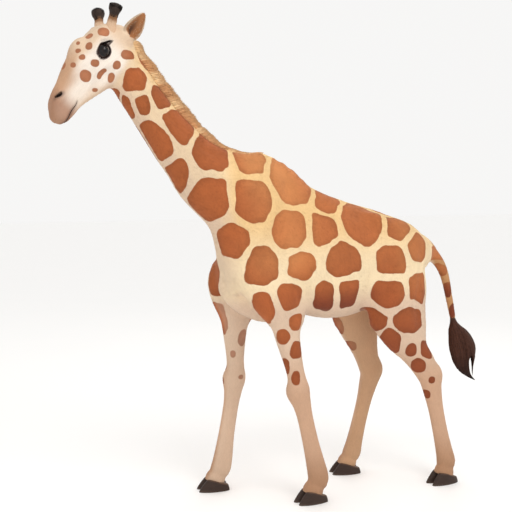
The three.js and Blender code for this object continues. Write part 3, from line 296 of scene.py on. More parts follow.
def smooth_stations(st, per=3):
    st = np.array(st, float)
    n = len(st)
    out = []
    for i in range(n - 1):
        p0, p1, p2, p3 = (st[max(0, min(n - 1, i + j))] for j in (-1, 0, 1, 2))
        for j in range(per):
            t = j / per
            m1, m2 = (p2 - p0) / 2, (p3 - p1) / 2
            out.append((2 * t**3 - 3 * t**2 + 1) * p1 + (t**3 - 2 * t**2 + t) * m1 + (3 * t**2 - 2 * t**3) * p2 + (t**3 - t**2) * m2)
    out.append(st[-1])
    return np.array(out)


class Chain:
    def __init__(self, st, up, per=3):
        self.st = smooth_stations(st, per)
        self.segs = []
        up = np.array(up, float)
        for a, b in zip(self.st[:-1], self.st[1:]):
            d = b[:3] - a[:3]
            L = np.linalg.norm(d)
            T = d / L
            U = unit(up - T * (up @ T))
            self.segs.append((a, b, L, T, U, np.cross(T, U), (a[:3] + b[:3]) / 2, max(*a[3:6], *b[3:6]) + L / 2))
        lo = self.st[:, :3] - self.st[:, 3:6].max(1)[:, None]
        hi = self.st[:, :3] + self.st[:, 3:6].max(1)[:, None]
        self.lo, self.hi = lo.min(0), hi.max(0)

    def at(self, P, far=FAR):
        out = np.full(len(P), far)
        box = np.nonzero(((P > self.lo - far) & (P < self.hi + far)).all(1))[0]
        if not len(box):
            return out
        P = P[box]
        best = np.full(len(P), far)
        for a, b, L, T, U, S, mid, R in self.segs:
            w0 = P - mid
            m = np.nonzero((w0 * w0).sum(1) < (best + R) ** 2)[0]
            if not len(m):
                continue
            Q = P[m] - a[:3]
            t = Q @ T / L
            c = clamp01(t)
            along = (t - c) * L
            w = Q - c[:, None] * (T * L)
            x = np.abs(w @ S)
            y = w @ U
            top = y > 0
            up = np.where(top, a[3] + (b[3] - a[3]) * c, a[4] + (b[4] - a[4]) * c)
            side = a[5] + (b[5] - a[5]) * c
            if a[6] == a[7] == b[6] == b[7] == 2:
                e2 = (x / side) ** 2 + (y / up) ** 2
            else:
                n = np.where(top, a[6] + (b[6] - a[6]) * c, a[7] + (b[7] - a[7]) * c)
                e2 = ((x / side) ** n + (np.abs(y) / up) ** n) ** (2 / n)
            low = np.minimum(up, side)
            e = np.sqrt(e2 + (along / low) ** 2)
            d = np.where(e > 1e-6, np.linalg.norm(w, axis=1) * (1 - 1 / np.maximum(e, 1e-6)), -low)
            best[m] = np.minimum(best[m], d)
        out[box] = best
        return out

    def place(self, P):
        """For each point: how far along the chain (mm), and its angle round it (-1..1, 0 at the top)."""
        best = np.full(len(P), 1e18)
        s_out, ang = np.zeros(len(P)), np.zeros(len(P))
        run = 0.0
        for a, b, L, T, U, S, mid, R in self.segs:
            Q = P - a[:3]
            c = clamp01(Q @ T / L)
            w = Q - c[:, None] * (T * L)
            d = (w * w).sum(1)
            m = d < best
            best[m] = d[m]
            s_out[m] = (run + c * L)[m]
            ang[m] = (np.arctan2(w @ S, w @ U) / math.pi)[m]
            run += L
        return s_out, ang

    def tangent(self, P):
        best = np.full(len(P), 1e18)
        out = np.zeros((len(P), 3))
        for a, b, L, T, U, S, mid, R in self.segs:
            Q = P - a[:3]
            c = clamp01(Q @ T / L)
            w = Q - c[:, None] * (T * L)
            d = (w * w).sum(1)
            m = d < best
            best[m] = d[m]
            out[m] = T
        return out


class Egg:
    def __init__(self, c, A, B, r, k):
        self.c, self.A, self.r, self.k = np.array(c, float), unit(A), r, k
        self.B = unit(np.array(B, float) - self.A * (np.array(B, float) @ self.A))
        self.C = np.cross(self.A, self.B)

    def add(self, d, P):
        w = P - self.c
        l = np.linalg.norm(w, axis=1)
        m = np.nonzero(l < max(self.r) + self.k + np.maximum(d, 0) + 1)[0]
        if not len(m):
            return d
        w, l = w[m], l[m]
        e = np.sqrt((w @ self.A / self.r[0]) ** 2 + (w @ self.B / self.r[1]) ** 2 + (w @ self.C / self.r[2]) ** 2)
        g = np.where(e > 1e-6, l * (1 - 1 / np.maximum(e, 1e-6)), -min(self.r))
        d = d.copy()
        d[m] = smin(d[m], g, self.k)
        return d


TRUNK = Chain(STATIONS["trunk"], (0, 0, 1))
NECK = Chain(STATIONS["neck"], (0, 0.63, 0.776))
TAIL = Chain(STATIONS["tail"], (0, 0.6, 0.8))
SKULL = Chain(STATIONS["skull"], (0, 1, 0))
JAW = Chain(STATIONS["jaw"], (0, 1, 0))
LEGS = {n: Chain(STATIONS[n], (0, -1, 0)) for n in JOINTS}
MUSCLES = {n: [Egg(*e) for e in l] for n, l in EGGS.items()}

phi, psi = math.radians(HEAD_PITCH), math.radians(HEAD_YAW)
HO = V(HEAD_F, HEAD_U)
HA = np.array([math.cos(phi) * math.sin(psi), -math.cos(phi) * math.cos(psi), -math.sin(phi)])
HB = np.array([math.sin(phi) * math.sin(psi), -math.sin(phi) * math.cos(psi), math.cos(phi)])
HC = np.cross(HB, HA)
HEAD_AXES = np.stack([HA, HB, HC], 1)


def to_head(P):
    """Body millimetres to the head's: towards the lips, up out of the forehead, to its left."""
    return (P - HO) @ HEAD_AXES


def from_head(a, b=None, c=None):
    q = np.array([a, b, c], float) if b is not None else np.asarray(a, float)
    return HO + q @ HEAD_AXES.T


def head_dir(q):
    return unit(np.asarray(q, float)) @ HEAD_AXES.T


# ------------------------------------------------------------------ ears, eyes, nostrils, lips
class Ear:
    """A leaf curled about its long axis: an arc at each height, as thick as the ear is there. The right one is turned back."""

    def __init__(self, s):
        self.s = s
        tip, opening = (EAR["tip"], EAR["open"]) if s > 0 else (EAR["tip_right"], EAR["open_right"])
        self.root = from_head(EAR["a"], EAR["b"], s * EAR["c"])
        self.tip = head_dir((tip[0], tip[1], s * tip[2]))
        toward = HA * opening[0] + HC * s * opening[1]
        self.open = unit(toward - self.tip * (toward @ self.tip))
        self.across = np.cross(self.tip, self.open)
        self.length = EAR["length"] - 3

    def local(self, P):
        w = P - self.root
        t = (w @ self.tip + 26) / (self.length + 26)
        x, z = w @ self.across, w @ self.open
        c = clamp01(t)
        half = (EAR["width"] - 3) * np.sin(math.pi * (0.16 + 0.8 * c)) ** 0.6
        wrap = 1.5 + (0.8 - 1.5) * c**0.7
        R = half / np.maximum(np.sin(wrap), 0.9)
        zc = -EAR["cup"] * (1 - 0.4 * c) + R
        ang = np.arctan2(x, zc - z)
        return t, c, x, z, wrap, R, zc, ang

    def at(self, P):
        t, c, x, z, wrap, R, zc, ang = self.local(P)
        rho = np.hypot(x, z - zc)
        a = np.clip(ang, -wrap, wrap)
        half = (3.1 - 1.1 * (a / wrap) ** 2) * (1 - 0.25 * c)
        d = np.hypot(x - R * np.sin(a), z - zc + R * np.cos(a))
        along = (t - c) * (self.length + 26)
        return np.hypot(d, along) - half

    def depth(self, P):
        """How deep in the cup a point lies: over 0 on the hollow side."""
        t, c, x, z, wrap, R, zc, ang = self.local(P)
        inside = (R - np.hypot(x, z - zc)) * (np.abs(ang) < wrap * 1.1)
        return inside, c, np.abs(ang) / wrap


EARS = [Ear(1), Ear(-1)]
GAZE = (-0.08, -0.02, 1.0)  # the way an eye looks, in the head's frame, left eye
LID = dict(width=44.5, height=39.0, thick=4.2, tilt=12)
NOSTRIL = dict(a=602, b=37, c=42, half=(27, 12.5, 16), slope=12, out=(0.20, 0.42, 0.88))
MOUTH = dict(start=548, end=720, b0=-70, drop=0.06, width=2.2, deep=14)


def eye_frame(s):
    c = from_head(EYE["a"], EYE["b"], s * EYE["c"])
    g = head_dir((GAZE[0], GAZE[1], s * GAZE[2]))
    t = math.radians(LID["tilt"])
    along = HA * math.cos(t) - HB * math.sin(t)  # from the back corner to the front corner
    along = unit(along - g * (along @ g))
    up = np.cross(g, along) if s < 0 else np.cross(along, g)
    return c, g, along, up


EYE_FRAMES = [eye_frame(1), eye_frame(-1)]


def eye_open(P, c, g, along, up):
    """Over 0 outside the lids' opening (mm), and the place along it and above its middle."""
    w = P - c
    n = np.maximum(np.linalg.norm(w, axis=1), 1e-6)
    w = w / n[:, None] * EYE["r"]
    x, y = w @ along, w @ up
    # a rounded almond: the upper edge more arched, the corners drawn out
    top = LID["height"] * (1.0 - 0.10 * x / LID["width"])
    low = LID["height"] * 0.93
    h = np.where(y > 0, top, low)
    e = (np.abs(x / LID["width"]) ** 2.1 + np.abs(y / h) ** 1.9) ** 0.5
    return (e - 1) * LID["height"], x, y, w @ g


def mouth_line(a):
    return MOUTH["b0"] - MOUTH["drop"] * (a - MOUTH["start"]) - 16 * smooth(a, MOUTH["start"] + 60, MOUTH["end"] - 20) + 9 * smooth(MOUTH["start"] + 26 - a, 0, 40)


def face_at(P):
    q = (P - HO) @ HEAD_AXES / HEAD_SCALE
    d = smin(SKULL.at(q), JAW.at(q), 44)
    for g in MUSCLES["face"]:
        d = g.add(d, q)
    return d * HEAD_SCALE


def head_share(P):
    """1 on the head, 0 on the neck and body, soft along the throat and the poll."""
    out = np.zeros(len(P))
    m = np.nonzero((P[:, 2] > 2450) & (P[:, 1] < -700))[0]
    if len(m):
        out[m] = smooth(NECK.at(P[m]) - face_at(P[m]), -22, 34)
    return out


def features(d, P):
    """Adds ears, eye sockets with lids, nostrils and the slit of the mouth."""
    q = to_head(P)
    for ear in EARS:
        m = np.nonzero(((P - ear.root) ** 2).sum(1) < 300**2)[0]
        if len(m):
            d[m] = smin(d[m], ear.at(P[m]), 20)
    for c, g, along, up in EYE_FRAMES:
        m = np.nonzero(((P - c) ** 2).sum(1) < 96**2)[0]
        if not len(m):
            continue
        p = P[m]
        ball = np.linalg.norm(p - c, axis=1) - EYE["r"]
        opening, x, y, w = eye_open(p, c, g, along, up)
        body = smax(d[m], -(ball - 0.9), 3)
        lid = np.maximum(ball - LID["thick"], -(ball - 0.9))
        lid = smax(lid, -w, 4)
        both = smin(body, lid, 16)
        both = smax(both, -(ball - 0.9), 2)
        hole = np.maximum(opening, -w)
        d[m] = smax(both, -hole * 0.9, 3.5)
    n = NOSTRIL
    for s in (1, -1):
        c = np.array([n["a"], n["b"], s * n["c"]])
        w = q - c
        m = np.nonzero((w**2).sum(1) < 90**2)[0]
        if not len(m):
            continue
        w = w[m]
        t = math.radians(n["slope"])
        A = np.array([math.cos(t), math.sin(t), 0])
        O = unit(np.array([n["out"][0], n["out"][1], s * n["out"][2]]))
        A = unit(A - O * (A @ O))
        B = np.cross(O, A)
        x, y, z = w @ A, w @ B, w @ O
        y = y - 0.012 * x * x * s  # the slit is a comma
        e = np.sqrt((x / n["half"][0]) ** 2 + (y / n["half"][1]) ** 2 + (np.maximum(np.abs(z) - 6, 0) / n["half"][2]) ** 2)
        hole = (e - 1) * n["half"][1]
        d[m] = smax(d[m], -hole, 7)
    m = np.nonzero((q[:, 0] > MOUTH["start"] - 10) & (np.abs(q[:, 1] - mouth_line(q[:, 0])) < 30))[0]
    if len(m):
        a, b = q[m, 0], q[m, 1] - mouth_line(q[m, 0])
        w = MOUTH["width"] * (0.35 + 0.65 * smooth(a, MOUTH["start"], MOUTH["start"] + 50))
        e = np.sqrt((b / w) ** 2 + (np.minimum(d[m], 0) / MOUTH["deep"]) ** 2 + (np.minimum(a - MOUTH["start"], 0) / 12) ** 2)
        d[m] = smax(d[m], -(e - 1) * w, 3)
    return d


def torso_at(P):
    d = smin(TRUNK.at(P), NECK.at(P), 130)
    for g in MUSCLES["torso"]:
        d = g.add(d, P)
    return smin(d, TAIL.at(P), 60)


def leg_at(name, P):
    d = LEGS[name].at(P)
    for g in MUSCLES[name]:
        d = g.add(d, P)
    return d


FEET = {}
for name, joints in JOINTS.items():
    c, side = np.array(joints[4], float), np.sign(joints[4][0])
    turn = math.radians(side * (5 if name.startswith("fore") else 7))
    FEET[name] = (np.array([c[0], c[1] - HOOF["forward"], 0.0]), turn)


def foot_local(name, P):
    """Across (to the left) and forward of the middle of the foot."""
    c, turn = FEET[name]
    w = P - c
    return w[:, 0] * math.cos(turn) + w[:, 1] * math.sin(turn), w[:, 0] * math.sin(turn) - w[:, 1] * math.cos(turn)


def coronet(f):
    return HOOF["heel"] + (HOOF["toe"] - HOOF["heel"]) * (f + HOOF["length"] / 2) / HOOF["length"]


def body_part(p, fine):
    d = torso_at(p)
    m = np.nonzero((p[:, 2] > 2450) & (p[:, 1] < -700))[0]
    if len(m):
        h = smin(d[m], face_at(p[m]), 60)
        d[m] = features(h, p[m]) if fine else h
    for name in LEGS:
        m = np.nonzero((p[:, 2] < 2000) & (p[:, 0] * JOINTS[name][0][0] > -9000))[0]
        if len(m):
            d[m] = smin(d[m], leg_at(name, p[m]), 70)
        m = np.nonzero((p[:, 2] < 200) & (np.hypot(p[:, 0] - JOINTS[name][4][0], p[:, 1] - JOINTS[name][4][1]) < 240))[0]
        if len(m):
            _, f = foot_local(name, p[m])
            d[m] = smax(d[m], coronet(f) - 13 - p[m, 2], 5)
    return d


def body_at(P, fine=True):
    """The distance to the skin, over 0 outside."""
    P = np.asarray(P, float)
    n = 16000
    if len(P) <= n:
        return body_part(P, fine)
    with ThreadPoolExecutor(4) as pool:
        return np.concatenate(list(pool.map(lambda i: body_part(P[i : i + n], fine), range(0, len(P), n))))


# ------------------------------------------------------------------ the skin, walked in cells of several sizes
CORNERS = np.array([(i, j, k) for i in (0, 1) for j in (0, 1) for k in (0, 1)])


def key_of(c):
    c = np.asarray(c, np.int64) + 8
    return (c[..., 0] << 42) | (c[..., 1] << 21) | c[..., 2]


def has(sorted_keys, keys):
    if not len(sorted_keys):
        return np.zeros(len(keys), bool), np.zeros(len(keys), np.int64)
    i = np.searchsorted(sorted_keys, keys)
    i = np.minimum(i, len(sorted_keys) - 1)
    return sorted_keys[i] == keys, i


def walk(field, lo, hi, h0, want, levels, reach=2.5):
    """One closed surface where field is 0. want(P) is how many times a cell of size h0 is halved at P."""
    lo = np.array(lo, float)
    n = np.ceil((np.array(hi) - lo) / h0).astype(int)
    cells = np.stack(np.meshgrid(*[np.arange(k) for k in n], indexing="ij"), -1).reshape(-1, 3)
    leaf, split = [], []
    for L in range(levels + 1):
        h = h0 / 2**L
        P = lo + (cells + 0.5) * h
        near = np.abs(field(P)) < h * reach
        cells, P = cells[near], P[near]
        stop = want(P) <= L if L < levels else np.ones(len(P), bool)
        leaf.append(cells[stop])
        rest = cells[~stop]
        split.append(np.sort(key_of(rest)))
        cells = (rest[:, None, :] * 2 + CORNERS).reshape(-1, 3)
    leaf_keys, leaf_order, base = [], [], [0]
    for c in leaf:
        k = key_of(c)
        o = np.argsort(k)
        leaf_keys.append(k[o])
        leaf_order.append(o)
        base.append(base[-1] + len(k))
    # values at all corners, on the finest level's points
    points = np.concatenate([((c[:, None, :] + CORNERS) << (levels - L)).reshape(-1, 3) for L, c in enumerate(leaf)])
    pk, first = np.unique(key_of(points), return_index=True)
    hf = h0 / 2**levels
    val = field(lo + points[first] * hf)
    val = np.where(np.abs(val) < 1e-4, 1e-4, val)

    def value(c):
        ok, i = has(pk, key_of(c))
        return val[i]

    quads, cross = [], []
    lost = 0
    for L, c in enumerate(leaf):
        if not len(c):
            continue
        sh = levels - L
        for axis in range(3):
            u, v = (axis + 1) % 3, (axis + 2) % 3
            step = np.zeros(3, int)
            step[axis] = 1
            starts = []
            for du in (0, 1):
                for dv in (0, 1):
                    o = np.zeros(3, int)
                    o[u], o[v] = du, dv
                    starts.append(c + o)
            e = np.concatenate(starts)
            f0, f1 = value(e << sh), value((e + step) << sh)
            cut = (f0 < 0) != (f1 < 0)
            e, f0, f1 = e[cut], f0[cut], f1[cut]
            _, once = np.unique(key_of(e), return_index=True)
            e, f0, f1 = e[once], f0[once], f1[once]
            ids = np.full((len(e), 4), -1)
            keep = np.ones(len(e), bool)
            for q, (du, dv) in enumerate(((-1, -1), (0, -1), (0, 0), (-1, 0))):
                cell = e.copy()
                cell[:, u] += du
                cell[:, v] += dv
                finer, _ = has(split[L], key_of(cell)) if L < levels else (np.zeros(len(e), bool), None)
                keep &= ~finer
                for M in range(L, -1, -1):
                    todo = ids[:, q] < 0
                    ok, i = has(leaf_keys[M], key_of(cell >> (L - M)))
                    ok &= todo
                    if ok.any():
                        ids[ok, q] = base[M] + leaf_order[M][i[ok]]
            whole = (ids >= 0).all(1)
            lost += int((keep & ~whole).sum())
            keep &= whole
            e, f0, f1, ids = e[keep], f0[keep], f1[keep], ids[keep]
            t = (f0 / (f0 - f1))[:, None]
            x = lo + (e + step * t) * (h0 / 2**L)
            flip = f0 > 0
            ids[flip] = ids[flip][:, ::-1]
            quads.append(ids)
            cross.append(x)
    quads, cross = np.concatenate(quads), np.concatenate(cross)
    total = base[-1]
    pos = np.zeros((total, 3))
    cnt = np.zeros(total)
    for q in range(4):
        np.add.at(pos, quads[:, q], cross)
        np.add.at(cnt, quads[:, q], 1)
    used = np.nonzero(cnt)[0]
    new = np.full(total, -1)
    new[used] = np.arange(len(used))
    pos = pos[used] / cnt[used, None]
    quads = new[quads]
    size = np.concatenate([np.full(len(c), h0 / 2**L) for L, c in enumerate(leaf)])[used]
    faces = []
    same = quads == np.roll(quads, -1, axis=1)
    n_same = same.sum(1)
    four = quads[n_same == 0]
    tri_src, tri_same = quads[n_same == 1], same[n_same == 1]
    tri = np.array([[r[k] for k in range(4) if not s[k]] for r, s in zip(tri_src, tri_same)]).reshape(-1, 3) if len(tri_src) else np.zeros((0, 3), int)
    return pos, four, tri, size, lost


def slope(field, P, h):
    """The field's gradient by four taps of a small tetrahedron."""
    K = np.array([(1, -1, -1), (-1, -1, 1), (-1, 1, -1), (1, 1, 1)], float)
    g = np.zeros((len(P), 3))
    h = np.asarray(h, float).reshape(-1, 1) if np.ndim(h) else h
    for k in K:
        g += k * field(P + k * h)[:, None]
    return g / (4 * h)


def settle(field, P, size, rounds=3):
    P = P.copy()
    for _ in range(rounds):
        d = field(P)
        g = slope(field, P, np.clip(size * 0.12, 0.4, 1.5))
        gg = np.maximum((g * g).sum(1), 0.3)
        step = -(d / gg)[:, None] * g
        n = np.linalg.norm(step, axis=1)
        cap = size * 0.35
        P += step * np.minimum(1, cap / np.maximum(n, 1e-9))[:, None]
    return P

# ------------------------------------------------------------------ relief of muscles, folds and tendons
# Lines on the flanks and neck, seen from the side: points (forward, up), width, height. Both sides carry them.
RELIEF = [
    ([(-30, 2180), (60, 1980), (170, 1780), (262, 1650)], 34, 6.0),  # spine of the shoulder blade
    ([(60, 2240), (190, 2000), (330, 1760)], 40, -6.0),  # hollow in front of it
    ([(-92, 2120), (-120, 1900), (-150, 1700), (-150, 1480), (-120, 1330)], 42, -9.0),  # back edge of the shoulder
    ([(250, 1650), (130, 1500), (20, 1400)], 40, -4.5),  # under the shoulder joint
    ([(60, 1640), (-40, 1560), (-100, 1430)], 46, 6.0),  # triceps
    ([(1000, 2900), (905, 2715), (740, 2480), (560, 2235), (400, 2010), (300, 1840)], 26, -6.5),  # groove of the neck
    ([(985, 2850), (860, 2640), (690, 2410), (500, 2150), (360, 1900)], 26, 4.0),  # windpipe
    ([(965, 3035), (880, 2810), (780, 2660), (640, 2490), (480, 2370), (330, 2300)], 18, -4.0),  # under the crest
    ([(960, 2960), (830, 2720), (640, 2470), (420, 2240), (180, 2120)], 50, 4.5),  # long muscle of the neck
    ([(-690, 1560), (-640, 1420), (-655, 1290)], 46, -10.0),  # flank hollow before the thigh
    ([(-720, 1880), (-640, 1760), (-610, 1640)], 50, -7.0),  # hollow of the flank
    ([(-735, 1905), (-760, 1700), (-742, 1480), (-720, 1330)], 36, 7.0),  # front edge of the thigh
    ([(-800, 1880), (-960, 1760), (-1090, 1640)], 36, -4.5),  # between rump muscles
    ([(-1085, 1680), (-1060, 1500), (-1020, 1330), (-1050, 1180)], 26, -6.0),  # groove of the hamstrings
    ([(-930, 1560), (-900, 1380), (-960, 1210)], 60, 4.0),  # the thigh's belly
    ([(-190, 1850), (-215, 1650), (-205, 1470)], 17, 2.2),
    ([(-275, 1880), (-300, 1660), (-285, 1450)], 17, 2.4),
    ([(-355, 1890), (-385, 1660), (-370, 1430)], 17, 2.6),
    ([(-435, 1880), (-470, 1660), (-455, 1430)], 17, 2.6),
    ([(-515, 1860), (-550, 1660), (-540, 1440)], 17, 2.2),
    ([(-300, 1985), (-460, 1960), (-640, 1930)], 30, -4.5),  # below the back muscle
    ([(930, 2905), (915, 2860), (905, 2810)], 9, -3.0),  # folds at the throat
    ([(905, 2935), (888, 2885), (880, 2835)], 9, -2.6),
]
# Lines on the head's sides in its own frame: (towards the lips, up), width, height.
FACE_RELIEF = [
    ([(296, -26), (360, -40), (440, -54), (510, -62)], 15, 3.2),  # facial crest
    ([(286, -70), (360, -84), (440, -90)], 20, -3.4),  # hollow of the cheek
    ([(146, -2), (178, -28), (222, -36), (272, -22), (300, 6)], 8, -2.2),  # fold below the eye
    ([(150, 58), (186, 82), (238, 84), (284, 62)], 9, -3.0),  # fold of the upper lid
    ([(270, 54), (320, 46), (380, 38)], 16, -2.6),  # before the eye
    ([(84, -120), (64, -70), (66, -10)], 22, -4.0),  # edge of the jaw
    ([(430, 46), (500, 40), (560, 44)], 14, -2.2),  # side of the nose bridge
    ([(575, 62), (632, 44), (650, 10)], 12, 2.6),  # rim of the nostril, in front
    ([(560, -2), (610, -8), (650, -4)], 12, -2.2),  # hollow below the nostril
    ([(590, -44), (640, -36), (690, -44)], 14, 2.6),  # upper lip
    ([(560, -98), (610, -106), (660, -112)], 14, 2.2),  # lower lip
    ([(240, -178), (330, -154), (420, -142)], 18, 3.0),  # edge of the lower jaw
]


def near_line(P2, pts, reach):
    """Distance from points in a plane to a line of several points."""
    best = np.full(len(P2), 1e9)
    for a, b in zip(pts[:-1], pts[1:]):
        a, b = np.array(a, float), np.array(b, float)
        d = b - a
        t = clamp01((P2 - a) @ d / (d @ d))
        best = np.minimum(best, np.hypot(*(P2 - a - t[:, None] * d).T))
    return best


def relief(P, N, Q):
    """How far the skin stands out of the plain body, mm."""
    out = np.zeros(len(P))
    side = smooth(np.abs(N[:, 0]), 0.25, 0.7)
    head_w = head_share(P)
    P2 = np.stack([-P[:, 1], P[:, 2]], 1)
    m = np.nonzero((side > 0) & (P[:, 2] > 1050) & (head_w < 1))[0]
    for pts, w, h in RELIEF:
        d = near_line(P2[m], pts, w)
        out[m] += h * np.exp(-((d / w) ** 2)) * side[m] * (1 - head_w[m])
    m = np.nonzero(head_w > 0)[0]
    n = np.abs(N[m] @ HC)
    eye = np.full(len(m), 1e9)
    for c, g, along, up in EYE_FRAMES:
        eye = np.minimum(eye, np.linalg.norm(P[m] - c, axis=1))
    clear = smooth(eye, EYE["r"] + 4, EYE["r"] + 14)
    for pts, w, h in FACE_RELIEF:
        d = near_line(Q[m][:, :2], pts, w)
        out[m] += h * np.exp(-((d / w) ** 2)) * smooth(n, 0.2, 0.6) * head_w[m] * clear
    # tendons behind the cannon bones, and the hollow beside them
    for name, ch in LEGS.items():
        top, low = JOINTS[name][2][2], JOINTS[name][3][2]
        m = np.nonzero((P[:, 2] < top - 20) & (P[:, 2] > low - 10) & (np.abs(P[:, 0] - JOINTS[name][3][0]) < 130) & (np.abs(P[:, 1] - (JOINTS[name][3][1] + JOINTS[name][2][1]) / 2) < 330))[0]
        if not len(m):
            continue
        s, ang = ch.place(P[m])
        t = (top - P[m, 2]) / (top - low)
        k = smooth(t, 0.05, 0.2) * (1 - smooth(t, 0.82, 1.0))
        out[m] += k * (-3.6 * np.exp(-(((np.abs(ang) - 0.6) / 0.085) ** 2)) + 1.6 * np.exp(-(((np.abs(ang) - 0.42) / 0.07) ** 2)))
    return out


# ------------------------------------------------------------------ the skin's mesh
FINE = 1


def want(P):
    q = to_head(P)
    lv = np.full(len(P), 2)
    lv[(P[:, 2] < 240) | ((P[:, 2] < 900) & (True))] = 2
    lv[(P[:, 1] < -960) & (P[:, 2] > 2560)] = 3
    lv[(np.abs(P[:, 0]) < 75) & (P[:, 1] > -420) & (P[:, 1] < 1060) & (P[:, 2] > 1850)] = 3
    for s in (1, -1):
        lv[((q - (NOSTRIL["a"], NOSTRIL["b"], s * NOSTRIL["c"])) ** 2).sum(1) < 42**2] = 4
    lv[(q[:, 0] > MOUTH["start"] - 20) & (np.abs(q[:, 1] - mouth_line(q[:, 0])) < 12)] = 4
    for ear in EARS:
        w = P - ear.root
        lv[(w @ ear.tip > 4) & ((w**2).sum(1) < 230**2)] = 4
    for c, g, along, up in EYE_FRAMES:
        lv[(((P - c) ** 2).sum(1) < 64**2) & ((P - c) @ g > 4)] = 4
    return lv


pos, quads, tris, size, lost = walk(body_at, (-360, -1740, -40), (360, 1560, 3330), 48, want, 4)
pos = settle(body_at, pos, size, 3)
NRM = unit(slope(body_at, pos, np.clip(size * 0.5, 1.2, 6)))
QH = to_head(pos)
pos = pos + NRM * relief(pos, NRM, QH)[:, None]


def mesh_normals(pos, quads, tris):
    n = np.zeros_like(pos)
    d1, d2 = pos[quads[:, 2]] - pos[quads[:, 0]], pos[quads[:, 3]] - pos[quads[:, 1]]
    fn = np.cross(d1, d2)
    for k in range(4):
        np.add.at(n, quads[:, k], fn)
    if len(tris):
        fn = np.cross(pos[tris[:, 1]] - pos[tris[:, 0]], pos[tris[:, 2]] - pos[tris[:, 0]])
        for k in range(3):
            np.add.at(n, tris[:, k], fn)
    return unit(n)


def even_crest(pos, normals, passes):
    """The line of the withers and the back runs in one even curve."""
    w = smooth(-np.abs(pos[:, 0]), -150, -80) * smooth(pos[:, 1], -440, -370) * smooth(-pos[:, 1], -1040, -960) * (pos[:, 2] > 1850)
    e = np.concatenate([quads[:, [0, 1]], quads[:, [1, 2]], quads[:, [2, 3]], quads[:, [3, 0]], tris[:, [0, 1]], tris[:, [1, 2]], tris[:, [2, 0]]])
    e = e[(w[e] > 0).any(1)]
    a, b = np.concatenate([e[:, 0], e[:, 1]]), np.concatenate([e[:, 1], e[:, 0]])
    n = np.maximum(np.bincount(a, minlength=len(pos)), 1)[:, None]
    for _ in range(passes):
        mean = np.stack([np.bincount(a, pos[b, k], len(pos)) for k in range(3)], 1) / n
        pos = pos + (0.6 * w)[:, None] * (mean - pos)
    return pos, unit(normals * (1 - w)[:, None] + mesh_normals(pos, quads, tris) * w[:, None])


pos, NRM = even_crest(pos, NRM, 30)


# drop stray shells, if the walk left any
def biggest_shell(count, quads, tris):
    parent = np.arange(count)
    edges = np.concatenate([quads[:, [0, 1]], quads[:, [1, 2]], quads[:, [2, 3]], tris[:, [0, 1]], tris[:, [1, 2]]])
    while True:
        a, b = parent[edges[:, 0]], parent[edges[:, 1]]
        lo = np.minimum(a, b)
        before = parent.copy()
        np.minimum.at(parent, edges[:, 0], lo)
        np.minimum.at(parent, edges[:, 1], lo)
        np.minimum.at(parent, a, lo)
        np.minimum.at(parent, b, lo)
        parent = parent[parent]
        if (parent == before).all():
            break
    ids, counts = np.unique(parent, return_counts=True)
    return parent == ids[np.argmax(counts)], counts


keep, shells = biggest_shell(len(pos), quads, tris)
if not keep.all():
    new = np.cumsum(keep) - 1
    quads, tris = new[quads[keep[quads].all(1)]], new[tris[keep[tris].all(1)]]
    pos, size = pos[keep], size[keep]
NRM = mesh_normals(pos, quads, tris)
QH = to_head(pos)
HEAD_W = head_share(pos)
print("skin:", len(pos), "points", len(quads), "quads", len(tris), "triangles, lost", lost, "shells", len(shells))

# ------------------------------------------------------------------ parts, the lie of the coat, the unwrap
PARTS = ["trunk", "neck", "head", "tail", "ear_left", "ear_right"] + list(LEGS)
part_d = np.full((len(pos), len(PARTS)), 1e3)
part_d[:, 0] = TRUNK.at(pos)
part_d[:, 1] = NECK.at(pos)
part_d[:, 2] = np.where(QH[:, 0] > -60, SKULL.at(QH / HEAD_SCALE), 1e3)
part_d[:, 2] = np.minimum(part_d[:, 2], np.where(QH[:, 0] > 0, JAW.at(QH / HEAD_SCALE), 1e3))
part_d[:, 3] = np.where(pos[:, 1] > 1190, TAIL.at(pos), 1e3)
for i, ear in enumerate(EARS):
    near = (pos - ear.root) @ ear.tip > 8
    part_d[:, 4 + i] = np.where(near, ear.at(pos), 1e3)
for i, name in enumerate(LEGS):
    on_side = pos[:, 0] * JOINTS[name][0][0] > 0
    lim = 1560 if name.startswith("fore") else 1800
    part_d[:, 6 + i] = np.where(on_side & (pos[:, 2] < lim), leg_at(name, pos) + 40 * smooth(pos[:, 2], lim - 400, lim), 1e3)
part = np.argmin(part_d, 1)

flow_dirs = np.zeros((len(pos), len(PARTS), 3))
flow_dirs[:, 0] = unit(TRUNK.tangent(pos) + np.array([0, 0, -0.45]))
flow_dirs[:, 1] = unit(-NECK.tangent(pos) + np.array([0, 0.0, -0.25]))
flow_dirs[:, 2] = -HA + 0.12 * HB
flow_dirs[:, 3] = TAIL.tangent(pos)
flow_dirs[:, 4], flow_dirs[:, 5] = EARS[0].tip, EARS[1].tip
for i, name in enumerate(LEGS):
    flow_dirs[:, 6 + i] = LEGS[name].tangent(pos)
w = np.exp(-(part_d - part_d.min(1)[:, None]) / 28.0)
FLOW = (flow_dirs * w[:, :, None]).sum(1)
FLOW = unit(FLOW - NRM * (FLOW * NRM).sum(1)[:, None])

